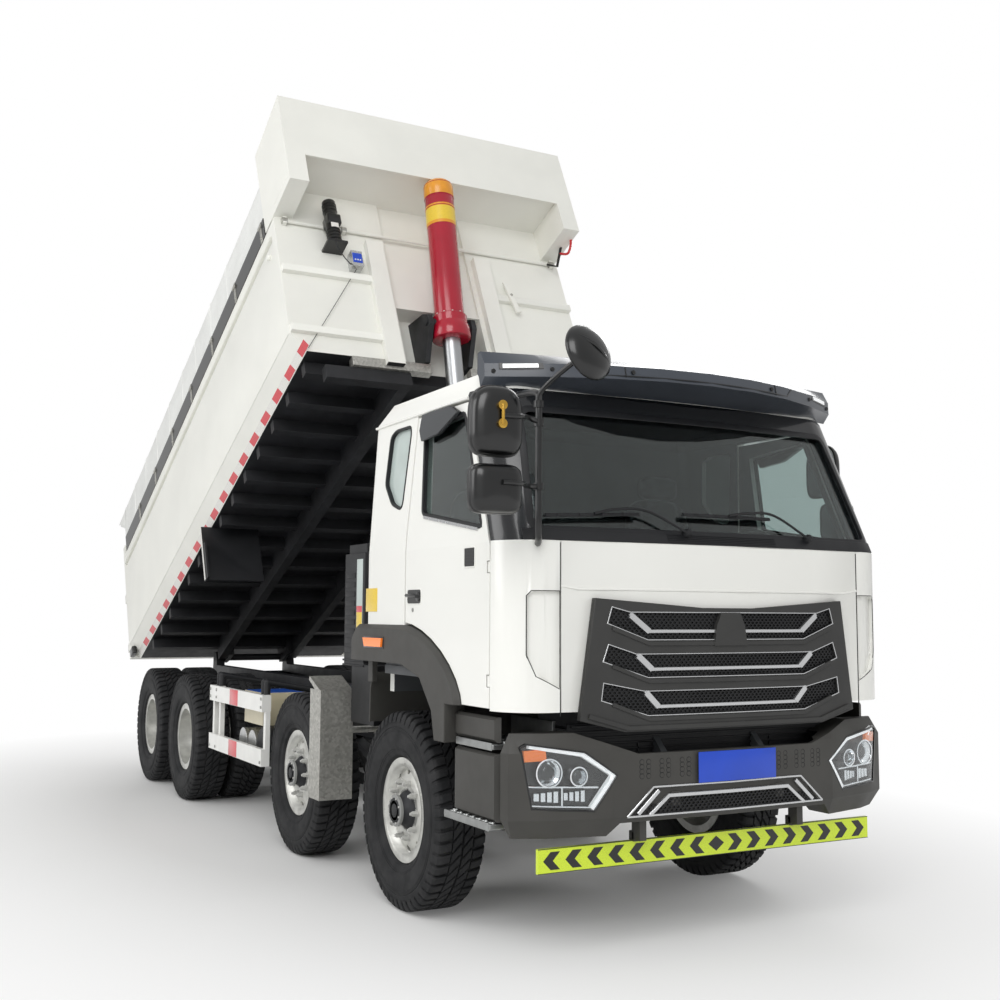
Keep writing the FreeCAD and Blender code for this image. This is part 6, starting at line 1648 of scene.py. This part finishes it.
def build_cover():
    """Sliding cover: one cloth laid over its bows, sagging between them, with welded hems and straps."""
    half = [(1.2335, 1.397), (1.229, 1.50), (1.224, 1.64), (1.2185, 1.779), (1.205, 1.83), (1.174, 1.879),
            (1.12, 1.915), (1.054, 1.944), (0.95, 1.962), (0.814, 1.979), (0.55, 1.981), (0.27, 1.982)]
    section = np.array(half + [(0.0, 1.9825)] + [(-x, h) for x, h in half[::-1]])
    rail = half[0][1]
    wall = -0.3
    bow = 0.545
    steps = 90
    t = np.linspace(0, len(section) - 1, steps)
    base = np.stack([np.interp(t, np.arange(len(section)), section[:, k]) for k in range(2)], -1)
    s = np.concatenate([np.linspace(5.148, wall, 150), np.linspace(-0.33, -0.848, 18)])
    phase = (s - wall) / bow
    sag = np.where(s > wall, np.sin(math.pi * (phase % 1.0)) ** 2, 0.0)[:, None]
    x, h = base[None, :, 0], base[None, :, 1]
    low = np.where(s > wall, rail, 1.56 + (wall - s) / 0.55 * 0.36)[:, None]
    flat_top = np.clip((h - 1.93) / 0.04, 0, 1)
    side = np.clip((1.80 - h) / 0.1, 0, 1)
    ripple = np.sin(s[:, None] * 23.0 + 3 * np.sin(s[:, None] * 5.1)) * np.clip((1.80 - h) / 0.4, 0, 1)
    height = np.maximum(h - sag * (0.016 * flat_top + 0.004), low)
    reach = np.sign(x) * (np.abs(x) - side * (0.003 + 0.003 * sag) - 0.0022 * (1 + ripple))
    points = np.stack([reach, np.broadcast_to(s[:, None], height.shape), height], -1)
    # at the rear the cut edge closes on itself, so each station only keeps what is above its hem
    for i in np.nonzero(s <= wall)[0]:
        kept = base[base[:, 1] >= low[i, 0]]
        span = np.linspace(0, len(kept) - 1, steps)
        points[i, :, 0] = np.interp(span, np.arange(len(kept)), kept[:, 0]) * 0.998
        points[i, :, 2] = np.interp(span, np.arange(len(kept)), kept[:, 1]) - 0.002
    shape = Shape(bed_place)
    shape.grid(points)
    cloth = shape.piece("cover_cloth", [stock("cloth")], "bed", ("tarp",), sharp=60,
                        merge=1e-6)
    uv = cloth.data.uv_layers.new(name="cloth")
    along = np.concatenate([[0], np.cumsum(np.linalg.norm(np.diff(points[:, steps // 2], axis=0), axis=1))])
    around = np.concatenate([[0], np.cumsum(np.linalg.norm(np.diff(points[75], axis=0), axis=1))])
    corner = np.empty(len(cloth.data.loops), np.int32)
    cloth.data.loops.foreach_get("vertex_index", corner)
    grid_uv = np.stack(np.meshgrid(along, around, indexing="ij"), -1).reshape(-1, 2)
    if len(cloth.data.vertices) == len(grid_uv):
        uv.data.foreach_set("uv", grid_uv[corner].ravel())
    thick = cloth.modifiers.new("cloth", "SOLIDIFY")
    thick.thickness = 0.0012
    thick.offset = 0.0
    hems = Shape(bed_place)
    for sign, column in ((1, 0), (-1, -1)):
        edge = points[s > -0.31][:, column]
        hems.tube(edge[::3] + (sign * 0.002, 0, 0.002), 0.005, steps=6)
    for k in range(9):
        ring = points[int(np.argmin(np.abs(s - (wall + bow * k)))), ::2]
        out = np.stack([np.sign(ring[:, 0]) * 0.0015, 0 * ring[:, 1], 0.0015 + 0 * ring[:, 2]], -1)
        hems.tube(ring + out, 0.004, steps=6)
    made = hems.piece("cover_hems", [stock("cloth_edge")], "bed", sharp=60)


def build_gear():
    """Cover drive: black rails, white shaft in its bearings, black motor, control box and their leads."""
    gear = dressed("tarp_gear", stock("black"), 0.003, more=(stock("body"), stock("trim")))

    x, s = -0.82, 5.45

    def shaft(c, n):
        across, _, up = bed_local(c)
        return (np.abs(across) < 1.195) & (up > 1.13)

    def control_box(c, n):
        across, _, up = bed_local(c)
        return (across > -0.71) & (across < -0.6) & (up < 1.0)

    def motor(c, n):
        across, along, _ = bed_local(c)
        return (across < -0.74) & (across > -0.905) & (np.abs(along - s) < 0.07)

    paint(gear, 1, shaft)
    paint(gear, 2, control_box)
    paint(gear, 0, motor)
    small = Shape(bed_place)
    for h in (1.0, 1.03, 1.06, 1.09, 1.28, 1.31, 1.34):
        small.lathe([(0.0, 0.05), (0.0, 0.056), (0.01, 0.056), (0.01, 0.05)], (x, s, h), (0, 0, 1), steps=28,
                    closed=True)
    small.lathe([(0.0, 0.0), (0.0, 0.045), (0.012, 0.04), (0.016, 0.0)], (x, s, 1.378), (0, 0, 1), steps=28)
    small.block((x - 0.05, s - 0.065, 1.14), (x + 0.06, s + 0.058, 1.235), 0.012)
    small.block((x - 0.03, s + 0.05, 1.10), (x + 0.03, s + 0.0535, 1.17), 0.001, mark=1)
    small.block((-0.693, 5.449, 0.825), (-0.617, 5.4525, 0.915), 0.001, mark=2)
    for k in range(3):
        small.lathe([(0.0, 0.0), (0.0, 0.007), (0.004, 0.006), (0.005, 0.0)],
                    (-0.675 + 0.02 * k, 5.452, 0.85), (0, 1, 0), steps=14, mark=1)
    for sx in (-1.175, -0.70, 1.175):
        small.lathe([(-0.02, 0.014), (-0.02, 0.027), (0.02, 0.027), (0.02, 0.014)], (sx, 5.38, 1.19),
                    (1, 0, 0), steps=24, mark=3, closed=True)
    small.piece("gear_fittings", [stock("black"), stock("white_tape"), stock("plate"), stock("zinc")], "bed")
    for name, path, size, lay in (
            ("motor_lead", smooth_path([(-0.82, 5.505, 0.975), (-0.85, 5.53, 0.90), (-0.80, 5.50, 0.835),
                                        (-0.72, 5.44, 0.81), (-0.701, 5.42, 0.83)], 40), 0.008, "loose"),
            ("box_lead", smooth_path([(-0.655, 5.40, 0.80), (-0.80, 5.385, 0.56), (-0.97, 5.384, 0.28),
                                      (-1.13, 5.375, 0.02)], 40), 0.005, "taut")):
        line = Shape(bed_place)
        line.tube(path, size / 2, steps=10)
        lead = line.piece(name, [stock("matt")], "bed", sharp=60)
        world = bed_place(path)


def build_hoist():
    """Red outer tube with orange cap and bands, flanged collar, ground stages and their wiper rings."""
    tube = dressed("hoist_tube", stock("hoist"), 0.004, sharp=40, more=(stock("band"), stock("iron")))
    down = HOIST_DOWN / np.linalg.norm(HOIST_DOWN)

    paint(tube, 2, lambda c, n: np.abs(c[:, 0]) > 0.134)
    rings = Shape()
    skin, band = 0.1148, 0.1162

    def ring(profile, mark=0, steps=64, closed=True):
        rings.lathe(profile, HOIST_TOP, down, steps=steps, mark=mark, closed=closed)

    def hoop(start, end, inner, outer, mark=0):
        ring([(start, inner), (start, outer), (end, outer), (end, inner)], mark)

    ring([(-1.2245, 0.0), (-1.2235, 0.05), (-1.214, 0.09), (-1.192, 0.112), (-1.175, band), (-1.078, band),
          (-1.076, skin)], 1, closed=False)
    hoop(-0.99, -0.82, skin, band, 1)
    hoop(-0.965, -0.845, 0.1158, 0.1168, 5)
    for t in (-1.075, -0.975):
        hoop(t, t + 0.006, 0.1145, 0.1175)
    ring([(-1.2, 0.0), (-1.212, 0.012), (-1.222, 0.014), (-1.224, 0.0)], 3, 20, False)
    ring([(-0.062, 0.114), (-0.062, 0.127), (-0.05, 0.1335), (-0.05, 0.114)])
    ring([(0.0, 0.132), (0.03, 0.143), (0.05, 0.148), (0.112, 0.150), (0.126, 0.145), (0.131, 0.134),
          (0.131, 0.075), (0.12, 0.075)])
    side = np.cross(down, (1.0, 0.0, 0.0))
    for k in range(12):
        a = 2 * math.pi * (k + 0.5) / 12
        spot = HOIST_TOP + 0.122 * (math.cos(a) * np.array((1.0, 0, 0)) + math.sin(a) * side) + down * -0.055
        rings.lathe([(-0.012, 0.0), (-0.012, 0.0065), (0.004, 0.0065), (0.004, 0.0)], spot, down, steps=6,
                    mark=2)
    rings.piece("hoist_rings", [stock("hoist"), stock("band"), stock("bolt"), stock("chrome"), stock("iron"),
                                stock("yellow_tape")], "hoist_barrel")
    dressed("hoist_cradle", stock("iron"), 0.006)
    radii = (0.069, 0.058, 0.047, 0.036)
    cos = -down[2]
    sin = math.sqrt(1 - cos * cos)
    for k, radius in enumerate(radii):
        node = "hoist_stage_%d" % (k + 1)
        dressed(node, stock("rod" if k else "stage"), sharp=40)
        if k == len(radii) - 1:
            continue
        end = (HOIST_TOP[2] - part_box(node)[0].z - radius * sin) / cos
        wiper = Shape()
        wiper.lathe([(end - 0.022, radius - 0.001), (end - 0.022, radius + 0.005),
                     (end - 0.002, radius + 0.006), (end + 0.004, radius - 0.002),
                     (end + 0.004, radius - 0.012)], HOIST_TOP, down, steps=48, closed=True)
        wiper.piece("wiper_%d" % (k + 1), [stock("trim")], "hoist_%d" % (k + 1))


def build_rear():
    """Rear lamps on their brackets, blank plate holder and a red lamp behind the cab's roof."""
    lamps = Shape(nose_place)
    for sign in (-1, 1):
        x0, x1 = sign * 0.56, sign * 0.93
        lamps.block((sign * 0.431, 6.578, 0.82), (sign * 0.60, 6.59, 0.91), 0.002)
        lamps.block((x0, 6.56, 0.80), (x1, 6.63, 0.93), 0.012)
        for k, mark in enumerate((1, 1, 2, 3)):
            a = x0 + sign * (0.018 + 0.085 * k)
            lamps.block((a, 6.625, 0.818), (a + sign * 0.078, 6.642, 0.912), 0.006, mark=mark)
    lamps.block((-0.28, 6.652, 0.80), (0.28, 6.658, 0.92), 0.002, mark=4)
    lamps.piece("rear_lamps", [stock("black"), stock("red_lamp"), stock("orange_lamp"), stock("white_lamp"),
                               stock("plate")], "chassis")
    top = Shape(nose_place)
    for x in (-0.95, 0.95):
        top.lathe([(0.0, 0.0), (0.0, 0.03), (0.012, 0.03), (0.014, 0.024)], (x, 0.30, 2.885), (0, 0, 1),
                  steps=20, mark=1)
        top.lathe([(0.012, 0.0), (0.012, 0.034), (0.03, 0.033), (0.045, 0.024), (0.05, 0.0)],
                  (x, 0.30, 2.885), (0, 0, 1), steps=28)
    top.piece("roof_lamps", [stock("red_lamp"), stock("black")], "cab")


# ---- camera, floor and light ---------------------------------------------------------------------
def build_stage():
    """Camera at the photograph's viewpoint, a pale floor that fades to white, and soft studio light."""
    scene = bpy.context.scene
    data = bpy.data.cameras.new("camera")
    data.lens = sizes().lens
    data.sensor_width = 36.0
    data.clip_end = 200.0
    camera = bpy.data.objects.new("camera", data)
    yaw, pitch, roll = -0.497, 0.095, 0.005
    right = Vector((math.cos(yaw), math.sin(yaw), 0))
    ahead = Vector((-math.sin(yaw) * math.cos(pitch), math.cos(yaw) * math.cos(pitch), math.sin(pitch)))
    up = right.cross(ahead)
    right, up = right * math.cos(roll) + up * math.sin(roll), up * math.cos(roll) - right * math.sin(roll)
    turn = Matrix((right, up, -ahead)).transposed().to_4x4()
    camera.matrix_world = Matrix.Translation((MID - 3.95, NOSE - 6.328, 1.651)) @ turn
    scene.collection.objects.link(camera)
    scene.camera = camera

    floor_mesh = bpy.data.meshes.new("floor")
    reach = 60.0
    floor_mesh.from_pydata([(-reach, -reach, 0), (reach, -reach, 0), (reach, reach, 0), (-reach, reach, 0)],
                           [], [(0, 1, 2, 3)])
    floor = bpy.data.objects.new("floor", floor_mesh)
    floor.location = (0, 0, -0.001)
    scene.collection.objects.link(floor)
    material, tree, shader = finish("pale studio floor", linear("E9E9E8"), 0.75, Specular_IOR_Level=0.2)
    grain(tree, shader, 0.02, 0.0003)
    spot = add(tree, "Mapping", {"Vector": where(tree), "Scale": (0.16, 0.1, 1.0)})
    away = add(tree, "VectorMath", {0: spot.outputs[0]}, operation="LENGTH").outputs["Value"]
    fade = add(tree, "MapRange", {"Value": away, "From Min": 0.3, "From Max": 0.8}).outputs[0]
    path = add(tree, "LightPath")
    seen = add(tree, "Math", {0: path.outputs["Is Camera Ray"], 1: path.outputs["Is Glossy Ray"]},
               operation="MAXIMUM").outputs[0]
    seen = add(tree, "Math", {0: seen, 1: path.outputs["Is Transmission Ray"]},
               operation="MAXIMUM").outputs[0]
    amount = add(tree, "Math", {0: seen, 1: fade}, operation="MULTIPLY").outputs[0]
    white = add(tree, "Emission", {"Color": (1, 1, 1, 1), "Strength": 1.0}).outputs[0]
    mix = add(tree, "MixShader", {0: amount, 1: shader.outputs[0], 2: white})
    tree.links.new(mix.outputs[0], tree.nodes["Material Output"].inputs["Surface"])
    floor_mesh.materials.append(material)

    world = bpy.data.worlds.new("studio")
    world.use_nodes = True
    scene.world = world
    tree = world.node_tree
    path = add(tree, "LightPath")
    seen = add(tree, "Math", {0: path.outputs["Is Camera Ray"], 1: path.outputs["Is Transmission Ray"]},
               operation="MAXIMUM").outputs[0]
    level = add(tree, "MapRange", {"Value": seen, "To Min": 0.62, "To Max": 1.0}).outputs[0]
    tree.links.new(level, tree.nodes["Background"].inputs["Strength"])
    tree.nodes["Background"].inputs["Color"].default_value = (1, 1, 1, 1)

    lamps = [
        ("key", (-6.5, NOSE - 7.5, 8.5), (0.3, NOSE + 2.0, 1.5), 7.0, 620.0),
        ("side", (-10.5, 0.5, 6.0), (0.0, 0.5, 1.5), 6.0, 300.0),
        ("rim", (8.0, 4.0, 9.0), (0.0, 0.0, 2.0), 5.0, 260.0),
    ]
    for name, place, aim, size, power in lamps:
        data = bpy.data.lights.new(name, "AREA")
        data.shape = "SQUARE"
        data.size = size
        data.energy = power
        lamp = bpy.data.objects.new(name, data)
        lamp.location = place
        lamp.rotation_mode = "QUATERNION"
        lamp.rotation_quaternion = (Vector(aim) - Vector(place)).to_track_quat("-Z", "Y")
        scene.collection.objects.link(lamp)
    scene.view_settings.view_transform = "Standard"


# ---- operators and panel -------------------------------------------------------------------------
class TIPPER_OT_tyres(bpy.types.Operator):
    """Build the tyres with their tread"""

    bl_idname = "tipper.tyres"
    bl_label = "Tyres"

    def execute(self, context):
        build_tyres()
        return {"FINISHED"}


class TIPPER_OT_wheels(bpy.types.Operator):
    """Build the wheels, nuts, hubs and caps"""

    bl_idname = "tipper.wheels"
    bl_label = "Wheels"

    def execute(self, context):
        build_wheels()
        return {"FINISHED"}


class TIPPER_OT_chassis(bpy.types.Operator):
    """Build the frame, axles, springs and shafts"""

    bl_idname = "tipper.chassis"
    bl_label = "Chassis"

    def execute(self, context):
        build_chassis()
        return {"FINISHED"}


class TIPPER_OT_sides(bpy.types.Operator):
    """Build the guards, wings, tanks, intake and steps"""

    bl_idname = "tipper.sides"
    bl_label = "Sides and steps"

    def execute(self, context):
        build_sides()
        build_steps()
        return {"FINISHED"}


class TIPPER_OT_front(bpy.types.Operator):
    """Build the grille, bumper, board and headlamps"""

    bl_idname = "tipper.front"
    bl_label = "Front end"

    def execute(self, context):
        build_grille()
        build_bumper()
        build_headlamps()
        return {"FINISHED"}


class TIPPER_OT_cab(bpy.types.Operator):
    """Build the cab, doors, glass, wipers and side trim"""

    bl_idname = "tipper.cab"
    bl_label = "Cab"

    def execute(self, context):
        build_cab()
        return {"FINISHED"}


class TIPPER_OT_mirrors(bpy.types.Operator):
    """Build the visor and the mirrors"""

    bl_idname = "tipper.mirrors"
    bl_label = "Visor and mirrors"

    def execute(self, context):
        build_mirrors()
        return {"FINISHED"}


class TIPPER_OT_interior(bpy.types.Operator):
    """Build the seats, dashboard and steering wheel"""

    bl_idname = "tipper.interior"
    bl_label = "Interior"

    def execute(self, context):
        build_interior()
        return {"FINISHED"}


class TIPPER_OT_body(bpy.types.Operator):
    """Build the tipping body, its tailgate and the rear lamps"""

    bl_idname = "tipper.body"
    bl_label = "Tipping body"

    def execute(self, context):
        build_body()
        build_tailgate()
        build_rear()
        return {"FINISHED"}


class TIPPER_OT_cover(bpy.types.Operator):
    """Build the sliding cover and its drive"""

    bl_idname = "tipper.cover"
    bl_label = "Cover"

    def execute(self, context):
        build_cover()
        build_gear()
        return {"FINISHED"}


class TIPPER_OT_hoist(bpy.types.Operator):
    """Build the telescopic hoist"""

    bl_idname = "tipper.hoist"
    bl_label = "Hoist"

    def execute(self, context):
        build_hoist()
        return {"FINISHED"}


class TIPPER_OT_stage(bpy.types.Operator):
    """Build the floor, the lights and the camera"""

    bl_idname = "tipper.stage"
    bl_label = "Stage"

    def execute(self, context):
        build_stage()
        return {"FINISHED"}


STEPS = (TIPPER_OT_tyres, TIPPER_OT_wheels, TIPPER_OT_chassis, TIPPER_OT_sides, TIPPER_OT_front,
         TIPPER_OT_cab, TIPPER_OT_mirrors, TIPPER_OT_interior, TIPPER_OT_body, TIPPER_OT_cover,
         TIPPER_OT_hoist, TIPPER_OT_stage)


class TIPPER_PT_panel(bpy.types.Panel):
    """Sizes, colours and building steps of the tipper"""

    bl_idname = "TIPPER_PT_panel"
    bl_label = "Tipper"
    bl_space_type = "VIEW_3D"
    bl_region_type = "UI"
    bl_category = "Tipper"

    def draw(self, context):
        scene = context.scene
        for group in (scene.tipper_sizes, scene.tipper_colours):
            column = self.layout.column()
            for name in group.__annotations__:
                column.prop(group, name)
        for step in STEPS:
            self.layout.operator(step.bl_idname)


CLASSES = (TipperSizes, TipperColours) + STEPS + (TIPPER_PT_panel,)


def register():
    for one in CLASSES:
        bpy.utils.register_class(one)
    bpy.types.Scene.tipper_sizes = PointerProperty(type=TipperSizes)
    bpy.types.Scene.tipper_colours = PointerProperty(type=TipperColours)


def unregister():
    del bpy.types.Scene.tipper_colours
    del bpy.types.Scene.tipper_sizes
    for one in reversed(CLASSES):
        bpy.utils.unregister_class(one)


def main():
    register()
    for step in STEPS:
        group, name = step.bl_idname.split(".")
        getattr(getattr(bpy.ops, group), name)()


if __name__ == "__main__":
    main()
